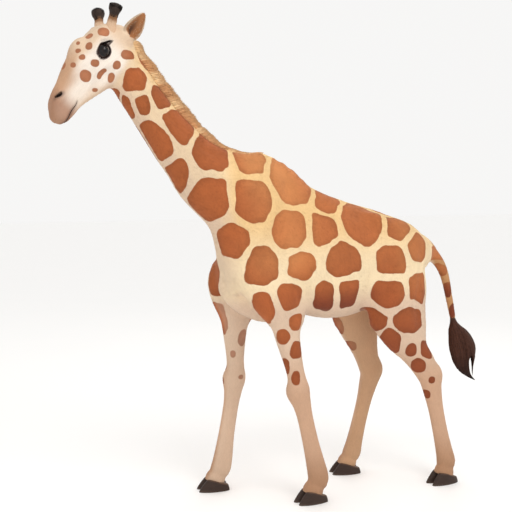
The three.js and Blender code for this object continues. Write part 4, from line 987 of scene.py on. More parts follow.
# Each part is unrolled round its chain onto a chart of its own in the unit square.
CHARTS = {  # left, low, width, height
    "trunk": (0.01, 0.51, 0.47, 0.48),
    "neck": (0.50, 0.51, 0.26, 0.48),
    "head": (0.77, 0.61, 0.22, 0.38),
    "tail": (0.77, 0.51, 0.10, 0.09),
    "ear_left": (0.88, 0.51, 0.05, 0.09),
    "ear_right": (0.94, 0.51, 0.05, 0.09),
    "foreleg_left": (0.01, 0.01, 0.22, 0.48),
    "foreleg_right": (0.24, 0.01, 0.22, 0.48),
    "hindleg_left": (0.47, 0.01, 0.25, 0.48),
    "hindleg_right": (0.73, 0.01, 0.26, 0.48),
}
CHAIN_OF = {"trunk": TRUNK, "neck": NECK, "tail": TAIL, **LEGS}


def unroll(P, Q, which):
    """Chart coordinates (0..1, 0..1) of points on one part."""
    if which == "head":
        s, ang = SKULL.place(Q / HEAD_SCALE)
        s = Q[:, 0] - 30 * np.abs(ang)
    elif which.startswith("ear"):
        ear = EARS[0] if which.endswith("left") else EARS[1]
        t, c, x, z, wrap, R, zc, a = ear.local(P)
        inside = (R - np.hypot(x, z - zc)) > 0
        ang = np.clip(a / wrap, -1, 1) * 0.48
        ang = np.where(inside, ang * 0.5 + 0.5, ang * 0.5 - 0.5) * 0.98
        s = t
    else:
        s, ang = CHAIN_OF[which].place(P)
        end = CHAIN_OF[which].segs[-1]
        s = s + np.maximum((P - end[1][:3]) @ end[3], 0)
        first = CHAIN_OF[which].segs[0]
        s = s + np.minimum((P - first[0][:3]) @ first[3], 0)
    return ang * 0.5 + 0.5, s


SPAN = {}
chart_uv = {}
for i, name in enumerate(PARTS):
    u, s = unroll(pos, QH, name)
    m = part == i
    lo_s, hi_s = (s[m].min(), s[m].max()) if m.any() else (0, 1)
    SPAN[name] = (lo_s, hi_s)
    chart_uv[name] = np.stack([u, clamp01((s - lo_s) / (hi_s - lo_s))], 1)


def atlas(name, uv):
    x, y, w, h = CHARTS[name]
    return np.stack([x + uv[..., 0] * w, y + uv[..., 1] * h], -1)


# ------------------------------------------------------------------ the camera
def frame_axes():
    az, dist, height = math.radians(68.3), 6.4, 2.2
    target = np.array([-0.23, 0.0, 1.65])
    eye = np.array([target[0] + math.sin(az) * dist, target[1] - math.cos(az) * dist, height])
    f = target - eye
    far = np.linalg.norm(f)
    f = f / far
    r = unit(np.cross(f, [0, 0, 1]))
    return eye, target, f, r, np.cross(r, f), 141.7 * far


EYE_AT, TARGET, CF, CR, CU, FOCAL = frame_axes()


def to_view(P):
    """Body millimetres to the picture's 512 x 512 frame."""
    w = P / 1000 - EYE_AT
    z = w @ CF
    return np.stack([256 + FOCAL * (w @ CR) / z, 256 - FOCAL * (w @ CU) / z], -1), z


skin_bvh = BVHTree.FromPolygons((pos / 1000).tolist(), quads.tolist() + tris.tolist())


def cast(x, y):
    """The point of the skin seen at a place in the picture, mm, or None."""
    d = CF * FOCAL + CR * (x - 256) - CU * (y - 256)
    hit = skin_bvh.ray_cast(Vector(EYE_AT), Vector(d).normalized())
    return None if hit[0] is None else np.array(hit[0]) * 1000

# ------------------------------------------------------------------ the patches
# Spots seen from the camera's side: place in the picture's frame, width and height there.
SEEN = [
    # face
    (103, 32, 14, 9), (89.5, 36, 6, 5), (78, 43, 4, 4), (89, 46, 8, 9), (78, 51, 6, 5), (82, 57, 7, 6), (63.5, 66, 4, 6), (73, 65, 6, 6),
    (95, 63, 8, 6), (117, 65, 7, 7), (102, 73, 8, 13), (85.5, 76, 10, 12), (111, 78, 6, 9), (95, 90, 5, 4),
    # neck
    (127.6, 55, 14, 10), (135, 80, 25, 24), (160.6, 98, 20, 23), (142.7, 104.6, 15, 23), (127, 108, 15, 18), (177, 126, 31, 37),
    (153.6, 141.6, 34, 44), (176.5, 173.5, 18, 32), (210, 152, 34, 32), (209, 200, 38, 43),
    # body
    (250, 161, 30, 19), (253, 200, 36, 43), (291, 181, 40, 37), (290, 230, 36, 41), (324, 230, 24, 32), (328, 202, 24, 16),
    (361, 222, 36, 38), (398, 227, 26, 24), (344, 260, 35, 38), (234, 240, 25, 32), (263, 266, 30, 38), (300.5, 266, 26, 27),
    (264, 308, 22, 32), (290, 297, 26, 26), (325, 296, 21, 28), (348, 291, 18, 28), (391, 260, 30, 34), (416.5, 247, 20, 25),
    (390, 294, 36, 27), (417, 289, 15, 30), (374, 320, 21, 23), (408, 320, 29, 24), (390.5, 341, 20, 25), (411, 350, 11, 12),
    (426, 350, 10, 17), (419, 365, 13, 13), (432, 380, 6, 6), (426, 394, 6, 6),
    # legs
    (296, 322, 12, 16), (283, 337, 12, 14), (297, 350, 11, 15), (285.6, 366, 6, 11), (296, 378, 8, 13), (215.5, 277, 13, 38),
    (218, 317, 12, 22), (243, 337, 7, 14), (233, 354, 5, 7), (241, 377, 4, 4), (337, 326, 8, 22), (348, 346, 8, 8),
    # tail
    (437, 254, 13, 14), (441, 269, 12, 12), (448, 289.5, 8, 14), (453, 310.5, 6, 14),
]
LAMBDA = 85.0


def spot_radius(P, Q):
    """The half size a patch has there, mm; 0 where the coat is plain."""
    f, u = -P[:, 1], P[:, 2]
    r = np.full(len(P), 112.0)
    r = np.where(u > 2150, 112 - 58 * smooth(u, 2150, 3000), r)  # up the neck
    r = np.where(u < 1500, 52 + 60 * smooth(u, 1150, 1500), r)
    r = np.where((f < -1180), 0.0, r)
    for name in LEGS:
        i = PARTS.index(name)
        knee = JOINTS[name][2][2]
        on = part_d[:, i] < 25
        leg_r = 22 + 44 * smooth(u, knee - 60, knee + 560)
        r = np.where(on & (u < 1500), np.minimum(r, leg_r), r)
        r = np.where(on & (u < knee - (60 if name.startswith("fore") else 150)), 0.0, r)
    head = HEAD_W > 0.5
    r = np.where(head, 20 + 8 * smooth(Q[:, 1], -20, 60), r)
    r = np.where(head & ((Q[:, 0] > 470) | (Q[:, 1] < -118) | (np.abs(Q[:, 2]) < 22) & (Q[:, 0] > 150)), 0.0, r)
    r = np.where((part == 4) | (part == 5), 0.0, r)
    return r


seeds, seed_n, seed_r, seed_cap, seed_seen = [], [], [], [], []
near_tree = None


def nearest_points(Q3):
    from mathutils.kdtree import KDTree
    global near_tree
    if near_tree is None:
        near_tree = KDTree(len(pos))
        for i, p in enumerate(pos):
            near_tree.insert(p, i)
        near_tree.balance()
    return np.array([near_tree.find(q)[1] for q in Q3])


def add_seed(p, n, rw, rh, seen):
    seeds.append(p)
    seed_n.append(n)
    seed_r.append(math.sqrt(rw * rh))
    seed_cap.append((rw, rh))
    seed_seen.append(seen)


legs_x = {n: JOINTS[n][3][0] for n in LEGS}
for x, y, w_px, h_px in SEEN:
    hit = None
    for dx, dy in ((0, 0), (-2, 0), (2, 0), (0, 2), (0, -2), (-4, 0), (4, 0), (-3, 3), (3, 3), (-6, 0), (6, 0), (-9, 0), (9, 0), (-13, 0)):
        hit = cast(x + dx, y + dy)
        if hit is not None:
            break
    if hit is None:
        print("no skin at", x, y)
        continue
    i = nearest_points([hit])[0]
    mm = 1000 * np.linalg.norm(hit / 1000 - EYE_AT) / FOCAL
    n = NRM[i]
    facing = max(0.45, abs(n @ CF))
    rw = w_px * mm / 2 / (facing if abs(n @ CR) > 0.3 else 1)
    rh = h_px * mm / 2 / (facing if abs(n @ CU) > 0.3 else 1)
    rw, rh = min(rw, w_px * mm / 2 * 1.35), min(rh, h_px * mm / 2 * 1.35)
    add_seed(hit, n, rw, rh, True)
    # the far side has its own, near the mirror image
    if PARTS[part[i]] in ("trunk", "neck", "head") and abs(hit[0]) > 45:
        j = rng.normal(0, 0.16, 3) * min(rw, rh)
        if PARTS[part[i]] == "head":
            q = to_head(hit[None])[0]
            q[2] = -q[2]
            m_hit = from_head(q + j * 0.6)
        else:
            m_hit = hit * (-1, 1, 1) + j
        k = nearest_points([m_hit])[0]
        s = rng.uniform(0.92, 1.06, 2)
        if PARTS[part[i]] == "trunk" and NRM[k] @ -CF > -0.15:
            continue  # that part of the chest and belly is seen, and has its own
        add_seed(pos[k], NRM[k], rw * s[0], rh * s[1], False)

# Everywhere else spots are dealt out as far apart as they are wide.
want_r = spot_radius(pos, QH)
order = rng.permutation(np.nonzero(want_r > 0)[0])[:9000]
C6 = lambda p, n: np.concatenate([p, LAMBDA * n], -1)
S6 = [C6(np.array(p), np.array(n)) for p, n in zip(seeds, seed_n)]
S6 = np.array(S6)
SR = np.array(seed_r)
free_from = len(seeds)
# the side that the placed spots cover, and the plain inner faces of the legs, get none
leg_side = np.zeros(len(pos))
for name in LEGS:
    leg_side[part == PARTS.index(name)] = np.sign(JOINTS[name][0][0])
faces = NRM @ -CF
skip = (HEAD_W > 0.3) & (faces > 0.0)
skip |= (faces > 0.12) & (pos[:, 1] > -1500)
skip |= (faces > -0.3) & (part == 0) & (pos[:, 2] < 1540)
skip |= (faces > -0.3) & (pos[:, 2] > 1200) & (pos[:, 2] < 1640) & (pos[:, 1] < -150)
skip |= (leg_side != 0) & (pos[:, 2] < 1330) & ((faces > -0.12) | (NRM[:, 0] * leg_side < 0.3))
for i in order:
    if skip[i]:
        continue
    r = want_r[i] * rng.uniform(0.8, 1.12)
    c = C6(pos[i], NRM[i])
    d = np.linalg.norm(S6 - c, axis=1)
    head = part[i] == 2
    if (d / (SR + r) > (1.28 if head else 1.12)).all():
        add_seed(pos[i], NRM[i], r, r, False)
        S6, SR = np.vstack([S6, c]), np.append(SR, r)

seeds, seed_n = np.array(seeds), np.array(seed_n)
seed_r, seed_cap, seed_seen = np.array(seed_r), np.array(seed_cap), np.array(seed_seen)


def seed_matrix(P, N):
    X = C6(P, N)
    S = C6(seeds, seed_n)
    return np.maximum((X * X).sum(1)[:, None] + (S * S).sum(1)[None] - 2 * X @ S.T, 0)


sample = rng.choice(len(pos), min(14000, len(pos)), replace=False)
for _ in range(4):  # the dealt ones settle into the middle of their ground
    D2 = seed_matrix(pos[sample], NRM[sample])
    own = np.argmin(D2 - seed_r[None] ** 2, 1)
    far = D2[np.arange(len(sample)), own] > (1.9 * seed_r[own]) ** 2
    for k in range(free_from, len(seeds)):
        m = (own == k) & ~far
        if m.sum() > 4:
            c = pos[sample][m].mean(0)
            j = sample[m][np.argmin(((pos[sample][m] - c) ** 2).sum(1))]
            seeds[k], seed_n[k] = pos[j], NRM[j]

seed_tone = rng.uniform(-1, 1, len(seeds))
seed_head = head_share(seeds) > 0.5


def wander(P, scale, seed):
    """A smooth random number at each point, about -1 to 1: a few waves in random directions."""
    r = np.random.default_rng(seed)
    out = np.zeros(len(P))
    for _ in range(7):
        k = unit(r.normal(size=3)) * r.uniform(0.7, 1.5) * 2 * math.pi / scale
        out += np.sin(P @ k + r.uniform(0, 6.28))
    return out / 2.6


def marks(P, N, gap):
    """How far inside a patch each point lies (mm, under 0 between patches), and the patch it belongs to."""
    out = np.empty(len(P))
    own_all = np.empty(len(P), int)
    gx = np.linalg.norm(C6(seeds, seed_n)[:, None] - C6(seeds, seed_n)[None], axis=2)
    for i in range(0, len(P), 12000):
        p, n = P[i : i + 12000], N[i : i + 12000]
        D2 = seed_matrix(p, n)
        W = D2 - seed_r[None] ** 2
        own = np.argmin(W, 1)
        rows = np.arange(len(p))
        b = (W - W[rows, own][:, None]) / (2 * np.maximum(gx[own], 1))
        b[rows, own] = 1e9
        b2 = np.partition(b, 3, axis=1)[:, :4]
        k = 0.34 * seed_r[own][:, None]  # rounds the corners
        g = gap[i : i + 12000][:, None]
        lo = -k * 0.35 * np.log(np.exp(-(b2 - g / 2) / (k * 0.35)).sum(1, keepdims=True))
        edge = lo[:, 0]
        # no patch is wider than its own size
        w = p - seeds[own]
        dn = (w * seed_n[own]).sum(1)
        v = w[:, 2]
        t = np.sqrt(np.maximum((w * w).sum(1) - v * v, 0))
        rw, rh = seed_cap[own].T
        grow = np.where(seed_head[own], 0.92, np.where(seed_seen[own] | (own < free_from), 1.15, 1.02))
        small = np.minimum(rw, rh)
        pw = np.where(small > 45, 3.8, 2.4)
        e = ((t / (rw * grow)) ** pw + (np.abs(v) / (rh * grow)) ** pw) ** (1 / pw)
        lim = (1 - e) * small
        edge = smin(edge, lim, 0.35 * small)
        out[i : i + 12000] = edge
        own_all[i : i + 12000] = own
    return out, own_all


head_w = HEAD_W
gap = 38.0 - 10 * smooth(pos[:, 2], 2100, 2700)
gap = np.where(head_w > 0.5, 16.0, gap)
gap = np.where(pos[:, 2] < 1250, 24.0, gap)
MARK, OWNER = marks(pos, NRM, gap)
amp = np.clip(seed_r[OWNER] * 0.09, 1.0, 7.0)
MARK = MARK + amp * wander(pos, 120, 5) * 0.8 + amp * wander(pos, 52, 6) * 0.16
TONE = seed_tone[OWNER]
MARK = np.where(want_r <= 0, np.where((MARK > -6) & (seed_seen[OWNER]), MARK, np.minimum(MARK, -12)), MARK)
MARK = np.where((part == 4) | (part == 5), -30, MARK)
print("spots:", len(seeds), "of them placed", free_from)

# ------------------------------------------------------------------ colours of the coat
def lin(*rgb):
    c = np.array(rgb, float) / 255
    return np.where(c <= 0.04045, c / 12.92, ((c + 0.055) / 1.055) ** 2.4)


GOLD, CREAM, CHEST, SHANK, FOOT = lin(230, 192, 136), lin(238, 215, 177), lin(216, 188, 163), lin(200, 160, 131), lin(172, 130, 99)
NECK_PALE = lin(222, 197, 163)
CHEEK, BRIDGE, MUZZLE, EARBACK, EARIN = lin(236, 224, 211), lin(188, 146, 114), lin(168, 123, 96), lin(228, 204, 176), lin(172, 116, 74)
RUST, DEEP, LIT_PATCH, BELLY_RUST, FACE_RUST = lin(170, 92, 47), lin(160, 86, 43), lin(194, 126, 74), lin(124, 56, 28), lin(174, 112, 78)
BARE, LIP, EAR_HOLLOW_SHADE = lin(58, 42, 38), lin(120, 84, 68), lin(40, 24, 20)


def blend(a, b, t):
    t = np.asarray(t)[:, None]
    return a * (1 - t) + b * t


def coat_colours(P, N, Q, part, part_d):
    f, u = -P[:, 1], P[:, 2]
    one = np.ones(len(P))
    g = blend(CREAM[None] * one[:, None], GOLD[None], smooth(u, 1560, 1960) * (1 - 0.55 * smooth(f, 250, 420)))
    g = blend(g, NECK_PALE[None], 0.85 * smooth(f, 300, 480))
    g = blend(g, CHEST[None], np.maximum(smooth(-u, -1500, -1300), 0.85 * smooth(f, 220, 420) * smooth(-N[:, 1] - 0.4 * N[:, 2], -0.1, 0.8)))
    crest = smooth(N @ np.array([0, 0.63, 0.776]), 0.2, 0.8) * smooth(f, 150, 400)
    g = blend(g, GOLD[None], crest * 0.7)
    leg = np.zeros(len(P))
    for name in LEGS:
        leg = np.maximum(leg, smooth(-part_d[:, PARTS.index(name)], -60, 0) * (u < 1500))
    g = blend(g, SHANK[None], leg * smooth(-u, -1150, -700))
    g = blend(g, FOOT[None], leg * smooth(-u, -420, -110))
    g = blend(g, lin(186, 136, 90)[None], (part == 3) * smooth(-f, 1230, 1300))
    face = HEAD_W
    c = blend(lin(219, 192, 164)[None] * one[:, None], CHEEK[None], smooth(np.abs(Q[:, 2]), 30, 66) * smooth(Q[:, 0], 60, 190) * (1 - smooth(Q[:, 1], 60, 120)))
    ridge = smooth(-np.abs(Q[:, 2]) + 0.26 * Q[:, 1], -54, -18) * smooth(Q[:, 0], 250, 420)
    c = blend(c, BRIDGE[None], ridge * 0.85)
    c = blend(c, BRIDGE[None], 0.6 * smooth(Q[:, 1], -20, 50) * smooth(Q[:, 0], 330, 500))
    c = blend(c, MUZZLE[None], 0.9 * smooth(Q[:, 0], 520, 650))
    c = blend(c, CHEST[None] * 0.92, 0.7 * smooth(-Q[:, 1], 110, 160))
    g = blend(g, c, face)
    # painted highlight: patches high on the body, most on the shoulder, are painted lighter, as if lit
    t = blend(RUST[None] * one[:, None], LIT_PATCH[None], 0.85 * smooth(u, 1450, 1700) * smooth(-f, -330, -150) * (1 - 0.62 * smooth(-f, 60, 320)) * (0.62 + 0.42 * wander(P, 900, 11)))
    t = blend(t, DEEP[None], smooth(f, 300, 620))
    # painted highlight: the patches on the haunch are painted lighter too
    t = blend(t, LIT_PATCH[None], 0.42 * smooth(-f, 820, 960) * smooth(u, 1150, 1500))
    t = blend(t, BELLY_RUST[None], smooth(-u, -1500, -1330) * (1 - leg))
    t = blend(t, BELLY_RUST[None], 0.45 * smooth(-f, 380, 640) * smooth(-u, -1640, -1300))
    t = blend(t, BELLY_RUST[None], 0.5 * leg * smooth(-u, -1250, -1000))
    t = blend(t, FACE_RUST[None], face)
    # painted shade: the inner faces of the hind legs, in shade under the belly and between the legs, are painted a
    # darker tan
    hind = np.zeros(len(P))
    for name in LEGS:
        if name.startswith("hind"):
            hind = np.maximum(hind, smooth(-part_d[:, PARTS.index(name)], -60, 0) * (u < 1500))
    hind = hind * smooth(-N[:, 0] * np.sign(P[:, 0]), 0.0, 0.7)
    # inside the legs and under the belly both pale
    inner = smooth(-N[:, 0] * np.sign(P[:, 0]), 0.1, 0.8) * (u < 1350) + smooth(-N[:, 2], 0.55, 0.9) * (u > 1100) * (u < 1600)
    inner = clamp01(inner)
    g = blend(g, CHEST[None] * 0.97, 0.7 * inner)
    # painted shade on the hind legs' inner faces
    g = blend(g, lin(186, 142, 104)[None], 0.8 * hind)
    t = blend(t, g * 0.6 + t * 0.4, 0.55 * inner)
    for i, ear in enumerate(EARS):
        m = np.nonzero(part == 4 + i)[0]
        if len(m):
            depth, c_, a_ = ear.depth(P[m])
            inside = smooth(depth, -0.6, 1.2)
            turn = ear.local(P[m])[7] * ear.s  # under 0 towards the forehead
            rim = np.where(turn < 0, smooth(a_, 0.5, 0.8), smooth(a_, 0.8, 1.0))
            col = blend(EARBACK[None] * np.ones((len(m), 1)), BRIDGE[None] * 0.92, smooth(c_, 0.45, 1.0) * 0.8)
            # painted shade: deep in the cup, along its middle and towards the root, the inside of the ear is painted
            # darker
            dark = blend(EARIN[None] * np.ones((len(m), 1)), EAR_HOLLOW_SHADE[None] * 1.5, np.exp(-(((turn + 0.16) / 0.34) ** 2)) * smooth(-c_, -0.95, -0.3) * 0.85)
            edge = blend(EARBACK[None] * np.ones((len(m), 1)), lin(192, 138, 92)[None], turn > 0)
            col = blend(col, blend(dark, edge, rim * 0.9), inside)
            g[m] = col
    return g, t


def bare_and_shade_at(P, Q):
    """1 on bare dark skin: the lids' edges, nostrils, the line of the lips; up to a half in a soft painted shade round
    the nostrils and along the mouth.
    """
    b = np.zeros(len(P))
    for c, gz, along, up in EYE_FRAMES:
        m = np.nonzero(((P - c) ** 2).sum(1) < 110**2)[0]
        if len(m):
            o, x, y, w = eye_open(P[m], c, gz, along, up)
            off = P[m] - c
            edge = (1 - smooth(o, 5.5, 9.0)) * (1 - smooth(np.linalg.norm(off, axis=1) - EYE["r"], 8, 12)) * (w > -12)
            # a dark streak runs back from the rear corner, a short one down from the front
            back, rise = -(off @ along) - 36, off @ up
            streak = (1 - smooth(np.abs(rise + 2 + 0.34 * back), 2.0 + 6.0 * (1 - clamp01(back / 54)), 5.0 + 9.0 * (1 - clamp01(back / 54)))) * smooth(back, 0, 8) * (1 - smooth(back, 40, 58))
            tear = np.exp(-(((off @ along - 50) / 9) ** 2) - ((rise + 6) / 5.0) ** 2)
            b[m] = np.maximum(b[m], np.clip(np.maximum(np.maximum(edge, 0.8 * tear), 0.92 * streak), 0, 1))
    n = NOSTRIL
    for s in (1, -1):
        w = Q - np.array([n["a"], n["b"], s * n["c"]])
        t = math.radians(n["slope"])
        A = np.array([math.cos(t), math.sin(t), 0])
        O = unit(np.array([n["out"][0], n["out"][1], s * n["out"][2]]))
        A = unit(A - O * (A @ O))
        B = np.cross(O, A)
        e = np.sqrt(((w @ A) / n["half"][0]) ** 2 + ((w @ B) / n["half"][1]) ** 2 + (np.maximum(np.abs(w @ O) - 14, 0) / 10) ** 2)
        # the nostril itself is dark bare skin; the soft halo round it is painted shade
        b = np.maximum(b, np.maximum(1 - smooth(e, 0.8, 1.3), 0.5 * (1 - smooth(e, 1.0, 2.1))))
    # the dark line of the lips' seam, and a soft band either side of it that is painted shade of the mouth's crease
    m = Q[:, 0] > MOUTH["start"] - 14
    d = np.abs(Q[:, 1] - mouth_line(Q[:, 0]))
    b = np.maximum(b, m * np.maximum(0.8 * (1 - smooth(d, 1.5, 4.5)), 0.3 * (1 - smooth(d, 3.0, 15.0))) * smooth(Q[:, 0], MOUTH["start"] - 14, MOUTH["start"] + 8))
    return b


GROUND, PATCH = coat_colours(pos, NRM, QH, part, part_d)
BARE_AND_SHADE_W = bare_and_shade_at(pos, QH)
# the lips darker along the mouth: partly their own tone, partly painted shade of the mouth's crease
LIP_TONE_AND_SHADE = smooth(QH[:, 0], 560, 640) * (1 - smooth(np.abs(QH[:, 1] - mouth_line(QH[:, 0])), 6, 22)) * (pos[:, 2] > 2400)
GROUND = blend(GROUND, LIP[None], 0.55 * LIP_TONE_AND_SHADE)


# ------------------------------------------------------------------ meshes from arrays
def new_mesh(name, P, faces, smooth_shade=True, body_mm=True):
    """faces: list of integer arrays, each (n, 3) or (n, 4)."""
    P = to_frame(P) if body_mm else np.asarray(P, float)
    me = bpy.data.meshes.new(name)
    faces = [f for f in faces if len(f)]
    loops = np.concatenate([f.reshape(-1) for f in faces])
    sizes = np.concatenate([np.full(len(f), f.shape[1]) for f in faces])
    me.vertices.add(len(P))
    me.vertices.foreach_set("co", P.astype(np.float32).ravel())
    me.loops.add(len(loops))
    me.loops.foreach_set("vertex_index", loops.astype(np.int32))
    me.polygons.add(len(sizes))
    me.polygons.foreach_set("loop_start", np.concatenate([[0], np.cumsum(sizes)[:-1]]).astype(np.int32))
    me.polygons.foreach_set("loop_total", sizes.astype(np.int32))
    me.update(calc_edges=True)
    me.validate()
    me.polygons.foreach_set("use_smooth", np.full(len(me.polygons), smooth_shade))
    ob = bpy.data.objects.new(name, me)
    bpy.context.scene.collection.objects.link(ob)
    return ob


def set_float(ob, name, v):
    a = ob.data.attributes.new(name, "FLOAT", "POINT")
    a.data.foreach_set("value", np.asarray(v, np.float32))


def set_colour(ob, name, v):
    a = ob.data.attributes.new(name, "FLOAT_COLOR", "POINT")
    v = np.concatenate([np.asarray(v, np.float32), np.ones((len(v), 1), np.float32)], 1)
    a.data.foreach_set("color", v.ravel())


def set_vector(ob, name, v):
    a = ob.data.attributes.new(name, "FLOAT_VECTOR", "POINT")
    a.data.foreach_set("vector", np.asarray(v, np.float32).ravel())


def set_uv(ob, uv_of_loop):
    layer = ob.data.uv_layers.new(name="OFBake")
    layer.data.foreach_set("uv", np.asarray(uv_of_loop, np.float32).ravel())


# ------------------------------------------------------------------ materials
class Nodes:
    def __init__(self, name):
        self.mat = bpy.data.materials.new(name)
        self.mat.use_nodes = True
        self.t = self.mat.node_tree
        self.t.nodes.clear()
        self.out = self.t.nodes.new("ShaderNodeOutputMaterial")
        self.bsdf = self.t.nodes.new("ShaderNodeBsdfPrincipled")
        self.t.links.new(self.bsdf.outputs[0], self.out.inputs[0])

    def new(self, kind, **props):
        n = self.t.nodes.new(kind)
        for k, v in props.items():
            setattr(n, k, v)
        return n

    def put(self, socket, v):
        if isinstance(v, bpy.types.NodeSocket):
            self.t.links.new(v, socket)
        elif v is not None:
            socket.default_value = v

    def attr(self, name, what="Fac"):
        n = self.new("ShaderNodeAttribute", attribute_type="GEOMETRY", attribute_name=name)
        return n.outputs[what]

    def math(self, op, a, b=None, c=None, clamp=False):
        n = self.new("ShaderNodeMath", operation=op, use_clamp=clamp)
        for s, v in zip(n.inputs, (a, b, c)):
            self.put(s, v)
        return n.outputs[0]

    def vmath(self, op, a, b=None, scale=None):
        n = self.new("ShaderNodeVectorMath", operation=op)
        self.put(n.inputs[0], a)
        self.put(n.inputs[1], b)
        if scale is not None:
            self.put(n.inputs["Scale"], scale)
        return n.outputs[0]

    def noise(self, vec, scale, detail=2.0, rough=0.5, dist=0.0):
        n = self.new("ShaderNodeTexNoise")
        self.put(n.inputs["Vector"], vec)
        n.inputs["Scale"].default_value = scale
        n.inputs["Detail"].default_value = detail
        n.inputs["Roughness"].default_value = rough
        n.inputs["Distortion"].default_value = dist
        return n.outputs["Fac"]

    def ramp(self, v, a, b, to_a=0.0, to_b=1.0, kind="SMOOTHSTEP"):
        n = self.new("ShaderNodeMapRange", interpolation_type=kind)
        self.put(n.inputs["Value"], v)
        n.inputs["From Min"].default_value = a
        n.inputs["From Max"].default_value = b
        n.inputs["To Min"].default_value = to_a
        n.inputs["To Max"].default_value = to_b
        return n.outputs[0]

    def mix(self, t, a, b, kind="MIX"):
        n = self.new("ShaderNodeMix", data_type="RGBA", blend_type=kind)
        self.put(n.inputs[0], t)
        self.put(n.inputs[6], a)
        self.put(n.inputs[7], b)
        return n.outputs[2]

    def bright(self, colour, factor):
        """Colour times a number."""
        return self.vmath("SCALE", colour, scale=factor)

    def coords(self):
        return self.new("ShaderNodeTexCoord").outputs["Object"]

    def bump(self, height, distance, strength=1.0, normal=None):
        n = self.new("ShaderNodeBump")
        n.inputs["Strength"].default_value = strength
        n.inputs["Distance"].default_value = distance
        self.put(n.inputs["Height"], height)
        if normal is not None:
            self.put(n.inputs["Normal"], normal)
        return n.outputs[0]


def rgba(c):
    return (float(c[0]), float(c[1]), float(c[2]), 1.0)


def hide_material(name, fur):
    """The short coat: ground and patches from the skin's own numbers; fine hair along the lie of the coat."""
    m = Nodes(name)
    P = m.coords()
    mark = m.attr("mark")
    e1 = m.noise(P, 55.0, 3.0, 0.6)
    e2 = m.noise(P, 240.0, 2.0, 0.6)
    edge = m.math("ADD", mark, m.math("MULTIPLY_ADD", e1, 1.8, -0.9))
    edge = m.math("ADD", edge, m.math("MULTIPLY_ADD", e2, 1.6, -0.8))
    mask = m.ramp(edge, -2.4, 2.4)
    # patches: a little darker at the rim, a soft cloud inside
    inside = m.ramp(edge, 0.0, 34.0, 0.88, 1.05)
    cloud = m.noise(P, 9.0, 3.0, 0.55)
    tone = m.attr("tone")
    k = m.math("MULTIPLY", inside, m.math("MULTIPLY_ADD", cloud, 0.42, 0.79))
    k = m.math("MULTIPLY", k, m.math("MULTIPLY_ADD", tone, 0.09, 1.0))
    patch = m.bright(m.attr("patch", "Color"), k)
    cloud2 = m.noise(P, 5.0, 3.0, 0.5)
    ground = m.bright(m.attr("ground", "Color"), m.math("MULTIPLY_ADD", cloud2, 0.2, 0.9))
    colour = m.mix(mask, ground, patch)
    # single hairs: noise drawn out along the lie of the coat
    flow = m.attr("flow", "Vector")
    taps = []
    if not fur:
        for i in (-2, -1, 0, 1, 2):
            q = m.vmath("ADD", P, m.vmath("SCALE", flow, scale=0.0032 * i))
            taps.append(m.noise(q, 420.0, 1.0, 0.5))
        s = taps[0]
        for t in taps[1:]:
            s = m.math("ADD", s, t)
        hair = m.math("MULTIPLY", s, 0.2)
        hair_c = m.ramp(hair, 0.38, 0.62, 0.86, 1.10, "LINEAR")
    else:
        hair = m.noise(P, 260.0, 2.0, 0.6)
        hair_c = m.math("MULTIPLY_ADD", m.attr("shade"), 0.075, m.ramp(hair, 0.3, 0.7, 0.95, 1.04, "LINEAR"))
    colour = m.bright(colour, hair_c)
    # dark bare skin, and the soft painted shade round the nostrils and the mouth
    bare_and_shade = m.attr("bare_and_shade")
    skin_c = m.mix(m.noise(P, 300.0, 2.0), rgba(BARE * 0.8), rgba(BARE * 1.25))
    colour = m.mix(bare_and_shade, colour, skin_c)
    m.put(m.bsdf.inputs["Base Color"], colour)
    rough = m.math("SUBTRACT", 0.72, m.math("MULTIPLY", bare_and_shade, 0.3))
    m.put(m.bsdf.inputs["Roughness"], rough)
    m.bsdf.inputs["Specular IOR Level"].default_value = 0.28
    m.bsdf.inputs["Sheen Weight"].default_value = 0.10
    m.bsdf.inputs["Sheen Roughness"].default_value = 0.45
    m.bsdf.inputs["Sheen Tint"].default_value = (1.0, 0.9, 0.78, 1)
    if not fur:
        crease = m.noise(m.vmath("MULTIPLY", P, (1.0, 1.0, 0.6)), 38.0, 3.0, 0.55)
        n1 = m.bump(crease, 0.004, 0.35)
        n2 = m.bump(hair, 0.0016, 0.8, n1)
        m.put(m.bsdf.inputs["Normal"], n2)
    return m.mat


HIDE = hide_material("hide_coat", False)
FUR = hide_material("hide_tufts", True)

skin = new_mesh("skin", pos, [quads, tris])
skin.data.materials.append(HIDE)
set_float(skin, "mark", MARK)
set_float(skin, "tone", TONE)
set_float(skin, "bare_and_shade", BARE_AND_SHADE_W)
set_colour(skin, "ground", GROUND)
set_colour(skin, "patch", PATCH)
set_vector(skin, "flow", FLOW)
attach(skin, "root")
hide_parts("head", "neck", "trunk", "tail", "foreleg_left", "foreleg_right", "hindleg_left", "hindleg_right", "ear_left", "ear_right")


# ------------------------------------------------------------------ closed tubes and lofts
def loft(rings, cap=True):
    """Rings of points, shape (rows, n, 3), joined into one closed skin with middles at both ends."""
    rows, n = rings.shape[:2]
    P = rings.reshape(-1, 3)
    i, j = np.meshgrid(np.arange(rows - 1), np.arange(n), indexing="ij")
    k = (j + 1) % n
    q = np.stack([i * n + j, i * n + k, (i + 1) * n + k, (i + 1) * n + j], -1).reshape(-1, 4)
    if not cap:
        return P, q, np.zeros((0, 3), int)
    P = np.vstack([P, rings[0].mean(0), rings[-1].mean(0)])
    j = np.arange(n)
    k = (j + 1) % n
    low = np.stack([np.full(n, rows * n), k, j], -1)
    top = np.stack([np.full(n, rows * n + 1), (rows - 1) * n + j, (rows - 1) * n + k], -1)
    return P, q, np.concatenate([low, top])


def outward(P, quads, tris):
    """Turns all faces over if the closed skin has its inside out."""
    t = np.concatenate([tris, quads[:, [0, 1, 2]], quads[:, [0, 2, 3]]])
    v = np.einsum("ij,ij->i", P[t[:, 0]], np.cross(P[t[:, 1]], P[t[:, 2]])).sum()
    return (quads, tris) if v > 0 else (quads[:, ::-1], tris[:, ::-1])


